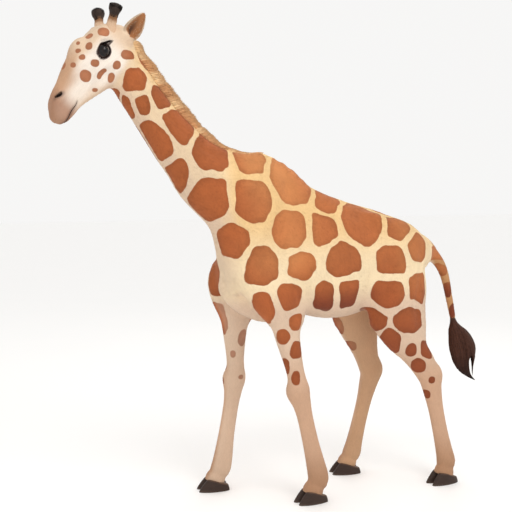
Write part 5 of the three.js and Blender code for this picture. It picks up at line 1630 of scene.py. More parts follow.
# ------------------------------------------------------------------ eyes
def eye_material():
    m = Nodes("eye")
    r = m.attr("from_gaze")  # mm from the middle of the iris, over the ball
    x, y = m.attr("eye_x"), m.attr("eye_y")
    pupil = m.math("SQRT", m.math("ADD", m.math("POWER", m.math("DIVIDE", x, 17.0), 2.0), m.math("POWER", m.math("DIVIDE", y, 11.0), 2.0)))
    P = m.coords()
    rays = m.noise(P, 420.0, 3.0, 0.6)
    iris = m.mix(rays, rgba(lin(14, 9, 7)), rgba(lin(34, 20, 12)))
    iris = m.mix(m.ramp(r, 22.0, 30.0), iris, rgba(lin(13, 9, 8)))
    iris = m.mix(m.ramp(pupil, 0.85, 1.1), rgba(lin(5, 4, 4)), iris)
    white = m.mix(m.noise(P, 90.0, 3.0), rgba(lin(34, 22, 18)), rgba(lin(66, 48, 40)))
    c = m.mix(m.ramp(r, 40.0, 46.0), iris, white)
    m.put(m.bsdf.inputs["Base Color"], c)
    m.bsdf.inputs["Roughness"].default_value = 0.12
    m.bsdf.inputs["Specular IOR Level"].default_value = 0.06
    m.bsdf.inputs["Coat Weight"].default_value = 1.0
    m.bsdf.inputs["Coat Roughness"].default_value = 0.02
    m.bsdf.inputs["Coat IOR"].default_value = 1.31
    m.put(m.bsdf.inputs["Normal"], m.bump(m.noise(P, 160.0, 1.0), 0.0004, 0.25))
    return m.mat


EYE_MAT = eye_material()
for (c, g, along, up), word in zip(EYE_FRAMES, ("left", "right")):
    n, rows = 56, 40
    th = np.linspace(0.02, math.pi - 0.02, rows)
    rings = []
    for t in th:
        bulge = 2.4 * math.exp(-((t / 0.5) ** 2))  # cornea
        R = EYE["r"] - 0.4 - (0.9 if t > 1.2 else 0) + bulge * 0.0
        a = np.arange(n) * 2 * math.pi / n
        rings.append(c + (R + bulge - 0.9 * math.exp(-(((t - 0.62) / 0.12) ** 2))) * (math.cos(t) * g + math.sin(t) * (np.cos(a)[:, None] * along + np.sin(a)[:, None] * up)))
    P, q, t = loft(np.array(rings))
    q, t = outward(P - c, q, t)
    ob = new_mesh("eyeball_" + word, P, [q, t])
    w = P - c
    ang = np.arccos(np.clip(unit(w) @ g, -1, 1))
    set_float(ob, "from_gaze", ang * EYE["r"])
    set_float(ob, "eye_x", w @ along)
    set_float(ob, "eye_y", w @ up)
    ob.data.materials.append(EYE_MAT)
    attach(ob, "root")
    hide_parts("eye_" + word)


# ------------------------------------------------------------------ horn cones
def horn_material():
    m = Nodes("horn_cone")
    P = m.coords()
    t = m.attr("height")
    n = m.noise(P, 60.0, 3.0, 0.6)
    t2 = m.math("ADD", t, m.math("MULTIPLY_ADD", n, 0.16, -0.08))
    hairs = m.noise(m.vmath("MULTIPLY", P, (1.0, 1.0, 0.25)), 520.0, 2.0, 0.6)
    low = m.mix(hairs, rgba(lin(190, 148, 114)), rgba(lin(226, 198, 170)))
    mid = m.mix(hairs, rgba(lin(110, 74, 46)), rgba(lin(150, 104, 66)))
    top = m.mix(hairs, rgba(lin(26, 17, 13)), rgba(lin(62, 44, 35)))
    c = m.mix(m.ramp(t2, 0.22, 0.44), low, mid)
    c = m.mix(m.ramp(t2, 0.42, 0.62), c, top)
    m.put(m.bsdf.inputs["Base Color"], c)
    m.bsdf.inputs["Roughness"].default_value = 0.66
    m.bsdf.inputs["Specular IOR Level"].default_value = 0.3
    b = m.bump(m.noise(P, 70.0, 3.0), 0.003, 0.5)
    m.put(m.bsdf.inputs["Normal"], m.bump(hairs, 0.0012, 0.9, b))
    return m.mat


HORN_MAT = horn_material()
HORNS = []
for word, s in (("left", 1), ("right", -1)):
    lean = math.radians(OSSICONE["lean"])
    d = unit(-HA * math.sin(lean) + HB * math.cos(lean) + HC * math.sin(math.radians(OSSICONE["splay"])) * s)
    side = unit(np.cross(d, HA))
    third = np.cross(d, side)
    c = from_head(OSSICONE["a"], OSSICONE["b"], s * OSSICONE["c"])
    L, b, w, k = OSSICONE["length"] + 1.5, OSSICONE["base"] - 1, OSSICONE["waist"], OSSICONE["knob"]
    prof = np.array([(b * 1.15, -38), (b * 1.12, -22), (b * 1.02, -6), (b * 0.92, 8), (b * 0.8, 26), (w + 2.0, 48), (w - 0.5, 68), (w - 0.5, 84), (w + 3.5, 100), (k - 5.5, 114), (k - 2.6, 128), (k - 2.6, 138), (k * 0.78, 149), (k * 0.55, 155), (k * 0.22, 158.6)])
    prof[:, 1] *= L / 158
    # a smooth profile through those rings
    tt = np.linspace(0, len(prof) - 1, 60)
    i = np.minimum(tt.astype(int), len(prof) - 2)
    f = (tt - i)[:, None]
    g = lambda j: prof[np.clip(j, 0, len(prof) - 1)]
    pr = 0.5 * (2 * g(i) + (g(i + 1) - g(i - 1)) * f + (2 * g(i - 1) - 5 * g(i) + 4 * g(i + 1) - g(i + 2)) * f**2 + (3 * g(i) - 3 * g(i + 1) + g(i + 2) - g(i - 1)) * f**3)
    n = 40
    a = np.arange(n) * 2 * math.pi / n
    rings = []
    for r, h in pr:
        lump = 1 + 0.03 * np.sin(3 * a + 0.02 * h + s) + 0.02 * np.sin(5 * a - 0.05 * h)
        bend = 4.0 * math.sin(math.pi * np.clip(h / L, 0, 1))
        rings.append(c + d * h + third * bend * 0.6 + (r * lump)[:, None] * (np.cos(a)[:, None] * side + np.sin(a)[:, None] * third * 1.04))
    P, q, t = loft(np.array(rings))
    q, t = outward(P - c, q, t)
    ob = new_mesh("horn_cone_" + word, P, [q, t])
    set_float(ob, "height", (P - c) @ d / L)
    ob.data.materials.append(HORN_MAT)
    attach(ob, "root")
    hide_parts("ossicone_" + word)
    HORNS.append((c, d, side, third, L, pr))


# ------------------------------------------------------------------ hooves
def hoof_material():
    m = Nodes("hoof_horn")
    P = m.coords()
    h = m.attr("height")
    z = m.vmath("MULTIPLY", P, (0.35, 0.35, 2.6))
    rings = m.noise(z, 70.0, 3.0, 0.6)
    grain = m.noise(m.vmath("MULTIPLY", P, (3.0, 3.0, 0.25)), 160.0, 2.0, 0.6)
    c = m.mix(rings, rgba(lin(30, 20, 17)), rgba(lin(64, 46, 38)))
    c = m.mix(m.math("MULTIPLY", grain, 0.25), c, rgba(lin(88, 68, 56)))
    c = m.mix(m.ramp(h, 0.86, 1.0), c, rgba(lin(98, 74, 58)))  # soft horn below the hair
    worn = m.math("MULTIPLY", m.ramp(h, 0.2, 0.0), m.noise(P, 40.0, 2.0))
    c = m.mix(worn, c, rgba(lin(96, 80, 68)))
    m.put(m.bsdf.inputs["Base Color"], c)
    m.put(m.bsdf.inputs["Roughness"], m.ramp(rings, 0.3, 0.7, 0.42, 0.6, "LINEAR"))
    m.bsdf.inputs["Specular IOR Level"].default_value = 0.25
    b = m.bump(rings, 0.0022, 0.7)
    m.put(m.bsdf.inputs["Normal"], m.bump(grain, 0.0006, 0.8, b))
    return m.mat


HOOF_MAT = hoof_material()


def claw(side, rows=22, steps=56):
    out, hh = [], []
    L0, W0 = HOOF["length"], HOOF["width"]
    for i in range(rows + 1):
        t = i / rows
        ti = 0 if i == 0 else t
        inset = 2.2 if i == 0 else (0.6 if i == 1 else 0)  # a soft lower edge
        over = 3.2 * smooth(t, 0.93, 1.0)  # closes in under the hair at the top
        L = L0 + (-52) * ti - 2 * (inset + over)
        W = (W0 - 14 * ti) / 2 - inset - over
        ring = []
        bell = 1.6 * math.sin(math.pi * t) + 0.55 * math.sin(t * 34) * (0.4 + 0.6 * math.sin(math.pi * t))
        for j in range(steps):
            w = 2 * math.pi * (j + 0.5) / steps
            y, x = math.cos(w), math.sin(w)
            f = y * (L / 2 + bell) - (34 * ti * y if y > 0 else -8 * ti * y) - 8 * ti
            rnd = 1 - 0.34 * y * y if y > 0 else 1 - 0.12 * y * y
            half = HOOF["cleft"] / 2 + (W + bell * 0.6 - HOOF["cleft"] / 2) * (0.5 + 0.5 * math.copysign(abs(x) ** 0.62, x) * rnd) + (-3 * y if y > 0 else 0)
            cor = coronet(f) + 7 * math.exp(-(((f - 10) / 46) ** 2)) * max(0.0, x) - 1.5
            ring.append((max(half, HOOF["cleft"] / 2) * side, -f, t * cor))
            hh.append(t)
        out.append(ring)
    return np.array(out), np.array(hh)


for name, (c, turn) in FEET.items():
    s = 1 if name.endswith("left") else -1
    for side in (1, -1):
        rings, hh = claw(side)
        P, q, t = loft(rings)
        q, t = outward(P - P.mean(0), q, t)
        R = np.array([[math.cos(turn), -math.sin(turn), 0], [math.sin(turn), math.cos(turn), 0], [0, 0, 1]])
        P = P @ R.T + c
        label = "hoof_%s_%s" % (name.replace("leg", ""), "outer" if side * s > 0 else "inner")
        ob = new_mesh("claw_" + label[5:], P, [q, t])
        set_float(ob, "height", np.concatenate([hh, [0.0, 1.0]]))
        ob.data.materials.append(HOOF_MAT)
        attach(ob, "root")
        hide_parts(label)


# ------------------------------------------------------------------ tufts of hair as solid blades
def blades(root, nrm, lie, length, width, lift, curl=0.0, sink=1.5, rows=2, fat=0.45, turn=None, lay=None):
    """Closed three-sided tufts, each lying along 'lie' and rising 'lift' off the skin. Everything in mm.
    Returns points (n, k, 3), triangles (n, f, 3), and each point's place along and across its tuft."""
    n = len(root)
    length, width, lift = (np.broadcast_to(np.asarray(v, float), (n,)) for v in (length, width, lift))
    side = np.cross(lie, nrm)
    if turn is not None:
        side = unit(side + nrm * np.asarray(turn)[:, None])
    up = np.cross(side, lie) * -1
    up = np.where(((up * nrm).sum(1) < 0)[:, None], -up, up)
    pts, place = [], []
    for r in range(rows):
        t = r / rows
        h = -sink + (lift + sink) * (1 - (1 - t) ** 2)
        c = root + lie * (length * t)[:, None] + nrm * h[:, None] + side * (curl * length * t * t)[:, None]
        w = width * (1 - t) ** 0.55 if r else width * 0.8
        for x, y in ((-1, 0), (1, 0), (0, fat)):
            pts.append(c + side * (x * w)[:, None] + up * (y * w)[:, None])
            place.append((t, 0.5 + 0.4 * x))
    pts.append(root + lie * length[:, None] + nrm * (lift * 0.82)[:, None] + side * (curl * length)[:, None])
    place.append((1.0, 0.5))
    tri = [(0, 1, 2)]
    for r in range(rows - 1):
        a = r * 3
        for i, j in ((0, 1), (1, 2), (2, 0)):
            tri += [(a + i, a + j + 3, a + j), (a + i, a + i + 3, a + j + 3)]
    a = (rows - 1) * 3
    k = rows * 3
    for i, j in ((0, 1), (1, 2), (2, 0)):
        tri.append((a + i, k, a + j))
    return np.stack(pts, 1), np.array(tri), np.array(place)


def tuft_mesh(name, P, tri, place, uv, values, material, soft=None):
    """One joined mesh of many tufts. uv is each tuft's place on the unwrap; values are numbers per tuft."""
    n, k = P.shape[:2]
    faces = (tri[None] + (np.arange(n) * k)[:, None, None]).reshape(-1, 3)
    # all tufts have their outside outwards
    a, b, c = (P[:, tri[:, i]] for i in range(3))
    vol = np.einsum("nfi,nfi->n", a - P.mean(1)[:, None], np.cross(b - P.mean(1)[:, None], c - P.mean(1)[:, None]))
    inside_out = np.repeat(vol < 0, len(tri))
    faces[inside_out] = faces[inside_out][:, ::-1]
    ob = new_mesh(name, P.reshape(-1, 3), [faces])
    for key, v in values.items():
        v = np.asarray(v)
        if v.ndim == 1:
            set_float(ob, key, np.repeat(v, k))
        elif key == "mark":  # a number for every point of the tuft
            set_float(ob, key, v.reshape(-1))
        elif key in ("flow",):
            set_vector(ob, key, np.repeat(v, k, axis=0))
        else:
            set_colour(ob, key, np.repeat(v, k, axis=0))
    set_float(ob, "along", np.tile(place[:, 0], n))
    if soft is not None:  # a short tuft is lit much as the skin under it
        own = unit(P - P.mean(1)[:, None])
        ob.data.normals_split_custom_set_from_vertices(unit(soft[:, None] + 0.4 * own).reshape(-1, 3))
    cell = 0.0028
    spot = uv[:, None] + (place[None] - 0.5) * cell
    spot = np.clip(spot, 0.001, 0.999).reshape(-1, 2)
    li = np.zeros(len(ob.data.loops), np.int32)
    ob.data.loops.foreach_get("vertex_index", li)
    set_uv(ob, spot[li])
    ob.data.materials.append(material)
    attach(ob, "root")
    return ob


TRI_ALL = np.concatenate([quads[:, [0, 1, 2]], quads[:, [0, 2, 3]], tris])
_a, _b, _c = (pos[TRI_ALL[:, i]] for i in range(3))
AREA = 0.5 * np.linalg.norm(np.cross(_b - _a, _c - _a), axis=1)


def scatter(density, seed):
    """Random roots on the skin; density per square millimetre at each point of the skin."""
    r = np.random.default_rng(seed)
    w = AREA * density[TRI_ALL].mean(1)
    cum = np.cumsum(w)
    n = int(cum[-1])
    at = (np.arange(n) + r.random(n)) / n * cum[-1]
    f = np.searchsorted(cum, at)
    f = np.minimum(f, len(TRI_ALL) - 1)
    u, v = r.random(n), r.random(n)
    flip = u + v > 1
    u[flip], v[flip] = 1 - u[flip], 1 - v[flip]
    bary = np.stack([1 - u - v, u, v], 1)
    return TRI_ALL[f], bary, r


def at_roots(values, idx, bary):
    v = values[idx]
    return (v * (bary[..., None] if v.ndim == 3 else bary)).sum(1)


def uv_of(P, Q, part_i, seed):
    out = np.zeros((len(P), 2))
    for i, name in enumerate(PARTS):
        m = np.nonzero(part_i == i)[0]
        if not len(m):
            continue
        u, s = unroll(P[m], Q[m], name)
        lo_s, hi_s = SPAN[name]
        out[m] = atlas(name, np.stack([clamp01(u), clamp01((s - lo_s) / (hi_s - lo_s))], 1))
    return out


# The tufts' sizes go with the part of the body: mm long, mm half wide, mm off the skin.
u_ = pos[:, 2]
leg_low = np.zeros(len(pos))
for name in LEGS:
    leg_low = np.maximum(leg_low, smooth(-part_d[:, PARTS.index(name)], -60, 0) * smooth(-u_, -1300, -900))
is_head = HEAD_W
is_ear = (part == 4) | (part == 5)
muzzle = smooth(QH[:, 0], 420, 600) * is_head
LEN = (10 - 5 * muzzle) * is_head + (16 - 6 * leg_low) * (1 - is_head)
WID = (1.1 - 0.4 * muzzle) * is_head + (1.9 - 0.7 * leg_low) * (1 - is_head)
LIFT = (0.8 - 0.4 * muzzle) * is_head + (1.2 - 0.5 * leg_low) * (1 - is_head)
LEN, WID, LIFT = np.where(is_ear, 10, LEN), np.where(is_ear, 1.0, WID), np.where(is_ear, 1.2, LIFT)
DENS = 0.52 / (LEN * WID * 2)
DENS = DENS * (1 - 0.2 * is_head)
DENS *= 1 - smooth(BARE_AND_SHADE_W, 0.15, 0.5)
for name in LEGS:  # none under the hooves' rim
    _, f_ = foot_local(name, pos)
    near_foot = (u_ < 200) & (np.hypot(pos[:, 0] - FEET[name][0][0], pos[:, 1] - FEET[name][0][1]) < 240)
    DENS = np.where(near_foot & (u_ < coronet(f_) - 2), 0, DENS)

idx, bary, r_ = scatter(DENS, 77)
root = at_roots(pos, idx, bary)
rn = unit(at_roots(NRM, idx, bary))
lie = at_roots(FLOW, idx, bary)
main = idx[np.arange(len(idx)), np.argmax(bary, 1)]
rpart = part[main]
n = len(root)
swirl = wander(root, 260, 31) * 0.10 + r_.normal(0, 0.13, n)
side = np.cross(lie, rn)
lie = unit(lie + side * swirl[:, None])
lie = unit(lie - rn * (lie * rn).sum(1)[:, None])
ln, wd, lf = (at_roots(v, idx, bary) for v in (LEN, WID, LIFT))
ln = ln * r_.uniform(0.75, 1.25, n)
wd = wd * r_.uniform(0.8, 1.2, n)
lf = lf * r_.uniform(0.7, 1.35, n)
bend = np.zeros(n)
P_, tri_, place_ = blades(root, rn, lie, ln, wd, lf, curl=r_.normal(0, 0.1, n), sink=1.2)
q_ = to_head(root)
uv_ = uv_of(root, q_, rpart, 3)
# a patch's edge crosses the tufts where it crosses the skin under them
_e1, _e2 = _b - _a, _c - _a
_n = np.cross(_e1, _e2)
_nn = np.maximum((_n * _n).sum(1), 1e-9)[:, None]
_m = MARK[TRI_ALL]
_g = (np.cross(_n, _e2) * (_m[:, 0] - _m[:, 1])[:, None] + np.cross(_n, -_e1) * (_m[:, 0] - _m[:, 2])[:, None]) / _nn
RISE = np.zeros_like(pos)
_w = np.zeros(len(pos))
for _k in range(3):
    np.add.at(RISE, TRI_ALL[:, _k], _g * AREA[:, None])
    np.add.at(_w, TRI_ALL[:, _k], AREA)
RISE /= np.maximum(_w, 1e-9)[:, None]
RISE /= np.maximum(np.linalg.norm(RISE, axis=1), 1.0)[:, None]
step = (P_ - root[:, None])
mark_there = at_roots(MARK, idx, bary)[:, None] + (step * at_roots(RISE, idx, bary)[:, None]).sum(2) + r_.normal(0, 0.4, n)[:, None]
vals = {
    "mark": mark_there,
    "tone": at_roots(TONE, idx, bary) * 0 + TONE[main],
    "bare_and_shade": at_roots(BARE_AND_SHADE_W, idx, bary) * 0.6,
    "shade": r_.uniform(-1, 1, n),
    "ground": at_roots(GROUND, idx, bary),
    "patch": at_roots(PATCH, idx, bary),
}
groups = {"coat_trunk": [0], "coat_neck": [1, 3], "coat_head": [2, 4, 5], "coat_legs_left": [6, 8], "coat_legs_right": [7, 9]}
for name, parts_ in groups.items():
    m = np.nonzero(np.isin(rpart, parts_))[0]
    per = len(tri_)
    pieces = max(1, math.ceil(len(m) * per / 190000))
    for i, mm_ in enumerate(np.array_split(m[np.argsort(root[m, 1], kind="stable")], pieces)):
        tuft_mesh(name + ("_%d" % (i + 1) if pieces > 1 else ""), P_[mm_], tri_, place_, uv_[mm_], {k: v[mm_] for k, v in vals.items()}, FUR, rn[mm_])
print("coat tufts:", n, "triangles", n * len(tri_))


# ------------------------------------------------------------------ longer hair
def strands(path, width, rows, up_hint, fat=0.8, taper=0.6, sides=4):
    """Closed tapered strands along given paths, path (n, rows + 1, 3); the last point is the tip."""
    n = len(path)
    tan = np.gradient(path, axis=1)
    tan = unit(tan)
    s = unit(np.cross(tan, up_hint[:, None]))
    u = np.cross(s, tan)
    pts, place = [], []
    for r in range(rows):
        t = r / rows
        w = width * np.clip(1 - t**2.2, 0.05, 1) ** taper * (0.75 if r == 0 else 1)
        for k in range(sides):
            a = 2 * math.pi * k / sides
            pts.append(path[:, r] + s[:, r] * (w * math.cos(a))[:, None] + u[:, r] * (w * fat * math.sin(a))[:, None])
            place.append((t, 0.5 + 0.4 * math.cos(a)))
    pts.append(path[:, rows])
    place.append((1.0, 0.5))
    tri = [(0, k, k + 1) for k in range(1, sides - 1)]
    for r in range(rows - 1):
        a = r * sides
        for k in range(sides):
            j = (k + 1) % sides
            tri += [(a + k, a + j + sides, a + j), (a + k, a + k + sides, a + j + sides)]
    a, k_ = (rows - 1) * sides, rows * sides
    tri += [(a + k, k_, a + (k + 1) % sides) for k in range(sides)]
    return np.stack(pts, 1), np.array(tri), np.array(place)


def hair_material(name, dark, light, tip, rough=0.5, spec=0.4, from_coat=False):
    m = Nodes(name)
    P = m.coords()
    t = m.attr("along")
    n = m.noise(P, 90.0, 3.0, 0.6)
    shade = m.math("MULTIPLY_ADD", m.attr("shade"), 0.5, 0.5)
    k = m.math("ADD", m.math("MULTIPLY", n, 0.5), m.math("MULTIPLY", shade, 0.5))
    c = m.mix(k, rgba(dark), rgba(light))
    if from_coat:
        mask = m.ramp(m.attr("mark"), -5.0, 5.0)
        base = m.mix(mask, m.attr("ground", "Color"), m.attr("patch", "Color"))
        c = m.mix(0.72, c, m.bright(base, m.math("MULTIPLY_ADD", shade, 0.3, 0.84)))
    c = m.mix(m.math("MULTIPLY", m.ramp(t, 0.45, 1.0), 0.8), c, rgba(tip))
    m.put(m.bsdf.inputs["Base Color"], c)
    m.bsdf.inputs["Roughness"].default_value = rough
    m.bsdf.inputs["Specular IOR Level"].default_value = spec
    m.put(m.bsdf.inputs["Normal"], m.bump(m.noise(P, 600.0, 2.0), 0.0008, 0.5))
    return m.mat


MANE_MAT = hair_material("mane_hair", lin(222, 174, 126), lin(250, 220, 174), lin(220, 170, 120), 0.6, 0.2, True)
TAIL_MAT = hair_material("tail_hair", lin(40, 20, 14), lin(92, 56, 42), lin(26, 11, 8), 0.5, 0.16)
DARK_MAT = hair_material("dark_hair", lin(14, 9, 8), lin(40, 27, 22), lin(12, 8, 7), 0.55, 0.14)
PALE_MAT = hair_material("pale_hair", lin(214, 190, 160), lin(246, 234, 216), lin(236, 220, 196), 0.6, 0.3)

# the mane: an upright brush on the crest, from the poll to the withers
crest_s = NECK.st
MANE_UP = np.array([0, 0.63, 0.776])


def crest_at(t):
    """Point of the neck's chain at share t of the mane, and the way up out of the crest."""
    i0, i1 = 3.0, len(crest_s) - 1.0
    x = i0 + (i1 - i0) * t
    i = int(min(x, len(crest_s) - 2))
    c = crest_s[i][:3] + (crest_s[i + 1][:3] - crest_s[i][:3]) * (x - i)
    T = unit(crest_s[i + 1][:3] - crest_s[i][:3])
    return c, unit(MANE_UP - T * (MANE_UP @ T)), T


mane_top = []
for t in np.linspace(0, 1, 90):
    c, U, T = crest_at(t)
    hit = skin_bvh.ray_cast(Vector((c + U * 560) / 1000), Vector(-U))
    base = np.array(hit[0]) * 1000 if hit[0] is not None else c
    mane_top.append((*base, *U, *T))
mane_top = np.array(mane_top)
r_ = np.random.default_rng(5)
n = 7600
t_ = r_.random(n)
x_ = t_ * (len(mane_top) - 1)
i_ = np.minimum(x_.astype(int), len(mane_top) - 2)
row = mane_top[i_] + (mane_top[i_ + 1] - mane_top[i_]) * (x_ - i_)[:, None]
base, U, T = row[:, :3], unit(row[:, 3:6]), unit(row[:, 6:9])
across = np.clip(r_.normal(0, 0.5, n), -1, 1)
half = 15.0 * smooth(t_, -0.05, 0.12) * (0.55 + 0.45 * smooth(1 - t_, -0.05, 0.1))
rise = 76 * np.maximum(np.sin(math.pi * (0.04 + 0.82 * t_)), 0.02) ** 0.5 * (0.62 + 0.38 * t_) * (1 + 0.28 * np.sin(math.pi * t_))
rise = rise * (1 - 0.16 * np.exp(-(((t_ - 0.36) / 0.012) ** 2))) * (0.94 + 0.08 * wander(base, 70, 12))
X = np.array([1.0, 0, 0])
start = base + X * (across * half)[:, None] - U * (4 + 3 * np.abs(across))[:, None]
high = (rise + 4) * (1 - 0.34 * np.abs(across) ** 2) * r_.uniform(0.9, 1.05, n)
rows = 3
path = np.zeros((n, rows + 1, 3))
drift = r_.normal(0, 0.05, n)
for k in range(rows + 1):
    f = k / rows
    path[:, k] = start + U * (high * f)[:, None] - T * (high * (0.10 * f + 0.26 * f * f))[:, None] + X * (high * (drift * f + across * 0.05 * f))[:, None]
P2, tri2, place2 = strands(path, r_.uniform(1.9, 3.0, n), rows, np.tile(X, (n, 1)), fat=0.55, taper=0.7)
i_near = nearest_points(base)
uvm = uv_of(start, to_head(start), np.where(part[i_near] == 2, 2, np.where(part[i_near] == 0, 0, 1)), 4)
# bands of the mane follow the patches beside it
beside = nearest_points(base - U * 34 + X * np.where(across > 0, 42, -42)[:, None])
band = wander(np.stack([base[:, 1], base[:, 2], np.zeros(n)], 1), 230, 19)
mane = tuft_mesh("mane_brush", P2, tri2, place2, uvm, {"mark": 0.5 * np.clip(MARK[beside], -12, 12) + 9 * band, "shade": r_.uniform(-1, 1, n), "ground": np.tile(lin(242, 208, 160), (n, 1)), "patch": np.tile(lin(214, 150, 98), (n, 1))}, MANE_MAT)
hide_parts("mane")

# the tail's tuft: long locks, parted near the end
TUFT = np.array([(-1484, 1178, 24, 22), (-1498, 1124, 36, 30), (-1516, 1088, 54, 40), (-1537, 1056, 78, 48), (-1562, 1000, 101, 55), (-1580, 936, 115, 58), (-1590, 874, 108, 54), (-1598, 812, 92, 46), (-1618, 750, 66, 34), (-1652, 704, 32, 20), (-1700, 668, 7, 7)], float)


def tuft_at(t):
    x = np.clip(t, 0, 1) * (len(TUFT) - 1)
    i = np.minimum(x.astype(int), len(TUFT) - 2)
    f = (x - i)[:, None]
    g = lambda j: TUFT[np.clip(j, 0, len(TUFT) - 1)]
    return 0.5 * (2 * g(i) + (g(i + 1) - g(i - 1)) * f + (2 * g(i - 1) - 5 * g(i) + 4 * g(i + 1) - g(i + 2)) * f**2 + (3 * g(i) - 3 * g(i + 1) + g(i + 2) - g(i - 1)) * f**3)


r_ = np.random.default_rng(8)
locks = 34
n = 2680
lock = r_.integers(0, locks, n)
la = r_.uniform(0, 2 * math.pi, locks)
lr = np.sqrt(r_.uniform(0.05, 1, locks))
lend = r_.uniform(0.72, 1.0, locks)
lr[: locks // 2] = r_.uniform(0.86, 0.97, locks // 2)
la[: locks // 2] = (np.arange(locks // 2) + 0.5) * 2 * math.pi / (locks // 2)
lback = np.cos(la) * lr < -0.52  # the locks at the back end early, as a second point
lend = np.where(lback, r_.uniform(0.79, 0.83, locks), lend)
ang = la[lock] + r_.normal(0, 0.35, n)
rad = np.clip(lr[lock] + r_.normal(0, 0.14, n), 0.02, 0.97)
t0 = np.clip(np.maximum(r_.uniform(-0.02, 0.42, n), 0) ** 1.3, 0.0, 0.4)
t1 = np.clip(lend[lock] + r_.normal(0, 0.035, n), 0.5, 1.0)
rows = 9
path = np.zeros((n, rows + 1, 3))
wob = r_.uniform(0, 6.28, (2, n))
for k in range(rows + 1):
    f = k / rows
    t = t0 + (t1 - t0) * f
    st = tuft_at(t)
    grip = smooth(t, 0.0, 0.25)
    # towards its end a lock draws together
    tie = 1 - 0.6 * smooth(np.full(n, f), 0.55, 1.0)
    cx, cy = np.cos(la[lock]) * lr[lock], np.sin(la[lock]) * lr[lock]
    x = cx + (np.cos(ang) * rad - cx) * tie
    y = cy + (np.sin(ang) * rad - cy) * tie
    cut = smooth(t, 0.53, 0.66)
    skew = 0.4 * y * st[:, 3] / st[:, 2]  # the parting runs a little slantwise through the tuft
    xs = x - skew
    x = np.where(lback[lock], xs + (-0.92 + 0.16 * (xs + 0.84) - xs) * cut, xs + np.maximum(-0.34 - xs, 0) * cut * 0.97) + skew * (1 - 0.0 * cut)
    shrink = np.where(lback[lock], 1 - 0.5 * smooth(t, 0.62, 0.82), 1.0)
    fwd = st[:, 0] + x * (st[:, 2] - 3) * (0.6 + 0.4 * grip) + 1.6 * np.sin(9 * t + wob[0]) * grip
    lft = (y * shrink) * (st[:, 3] - 3) * (0.6 + 0.4 * grip) + 1.4 * np.sin(8 * t + wob[1]) * grip
    path[:, k] = np.stack([lft, -fwd, st[:, 1]], 1)
w_ = r_.uniform(2.0, 3.4, n)
P3, tri3, place3 = strands(path, w_, rows, np.tile(X, (n, 1)), fat=0.6, taper=0.55)
tail_uv = atlas("tail", np.stack([np.mod(ang / (2 * math.pi), 1), np.clip(0.96 - 0 * t0, 0, 1)], 1))
tuft = tuft_mesh("tail_locks", P3, tri3, place3, tail_uv, {"shade": 0.6 * r_.uniform(-1, 1, n) + 0.4 * r_.uniform(-1, 1, locks)[lock]}, TAIL_MAT)
# a solid core, so that no light shows through the locks
tt = np.linspace(0.0, 0.88, 40)
st = tuft_at(tt)
a = np.arange(24) * 2 * math.pi / 24
core = []
for (f, u, deep, wide), t in zip(st, tt):
    k = 0.72 * (1 - 0.66 * float(smooth(np.array(t), 0.5, 0.8)))
    core.append(np.stack([np.sin(a) * (wide * k) * (1 + 0.06 * np.sin(5 * a)), -(f + 0.24 * deep * float(smooth(np.array(t), 0.5, 0.68)) + np.cos(a) * deep * k * (1 + 0.06 * np.sin(4 * a + 9 * t))), np.full(24, u)], 1))
P, q, t = loft(np.array(core))
q, t = outward(P - P.mean(0), q, t)
ob = new_mesh("tail_core", P, [q, t])
set_float(ob, "along", np.zeros(len(P)))
set_float(ob, "shade", np.full(len(P), -0.6))
ob.data.materials.append(TAIL_MAT)
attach(ob, "root")
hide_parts("tail_tuft")

# lashes
roots, dirs, ups, lens = [], [], [], []
r_ = np.random.default_rng(9)
for c, g, along, up in EYE_FRAMES:
    for k in range(140):
        x = -0.99 + 0.62 * (k + r_.uniform(-0.4, 0.4)) / 139  # along the upper lid from the back corner
        y = (1 - abs(x) ** 2.1) ** (1 / 1.9)
        p = along * x * LID["width"] + up * y * LID["height"] * (1 - 0.1 * x)
        h = math.sqrt(max(EYE["r"] ** 2 - p @ p, 1))
        p = unit(p + g * h) * (EYE["r"] + 3.6)
        out = unit(p)
        back = -x * 0.5
        roots.append(c + p)
        dirs.append(unit(out * 0.15 + g * 0.5 - up * 0.42 - along * 0.8))
        ups.append(unit(up * -0.5 + g * 0.1 - along * 0.2))
        lens.append((16 + 26 * smooth(np.array(-x), 0.3, 0.95)) * r_.uniform(0.8, 1.1))
roots, dirs, ups, lens = np.array(roots), np.array(dirs), np.array(ups), np.array(lens)
rows = 4
path = np.zeros((len(roots), rows + 1, 3))
for k in range(rows + 1):
    f = k / rows
    path[:, k] = roots - dirs * 2 + dirs * (lens * f)[:, None] + ups * (lens * 0.34 * f * f)[:, None]
P4, tri4, place4 = strands(path, np.full(len(roots), 1.0), rows, ups, fat=0.8, taper=0.55)
tuft_mesh("lashes", P4, tri4, place4, uv_of(roots, to_head(roots), np.full(len(roots), 2), 1), {"shade": r_.uniform(-1, 1, len(roots))}, DARK_MAT)

# dark hair on the horn cones' knobs
r_ = np.random.default_rng(10)
hr, hn, hl, hlen, hs = [], [], [], [], []
for c, d, side, third, L, pr in HORNS:
    for k in range(1500):
        hgt = L * (0.44 + 0.56 * r_.random() ** 0.85)
        a = r_.uniform(0, 2 * math.pi)
        rad = np.interp(hgt, pr[:, 1], pr[:, 0])
        out = math.cos(a) * side + math.sin(a) * third
        rise = float(smooth(np.array(hgt / L), 0.86, 1.0))
        bend = 4.0 * math.sin(math.pi * hgt / L) * 0.6
        hr.append(c + d * hgt + third * bend + out * rad)
        nn = unit(out * (1 - rise) + d * (0.1 + rise))
        hn.append(nn)
        v = d * (1 - rise) * 0.9 + out * (0.25 - 0.9 * rise) + r_.normal(0, 0.15, 3)
        hl.append(unit(v - nn * (v @ nn)))
        hlen.append(r_.uniform(9, 16) * (1 - 0.4 * rise))
        hs.append(r_.uniform(-1, 1))
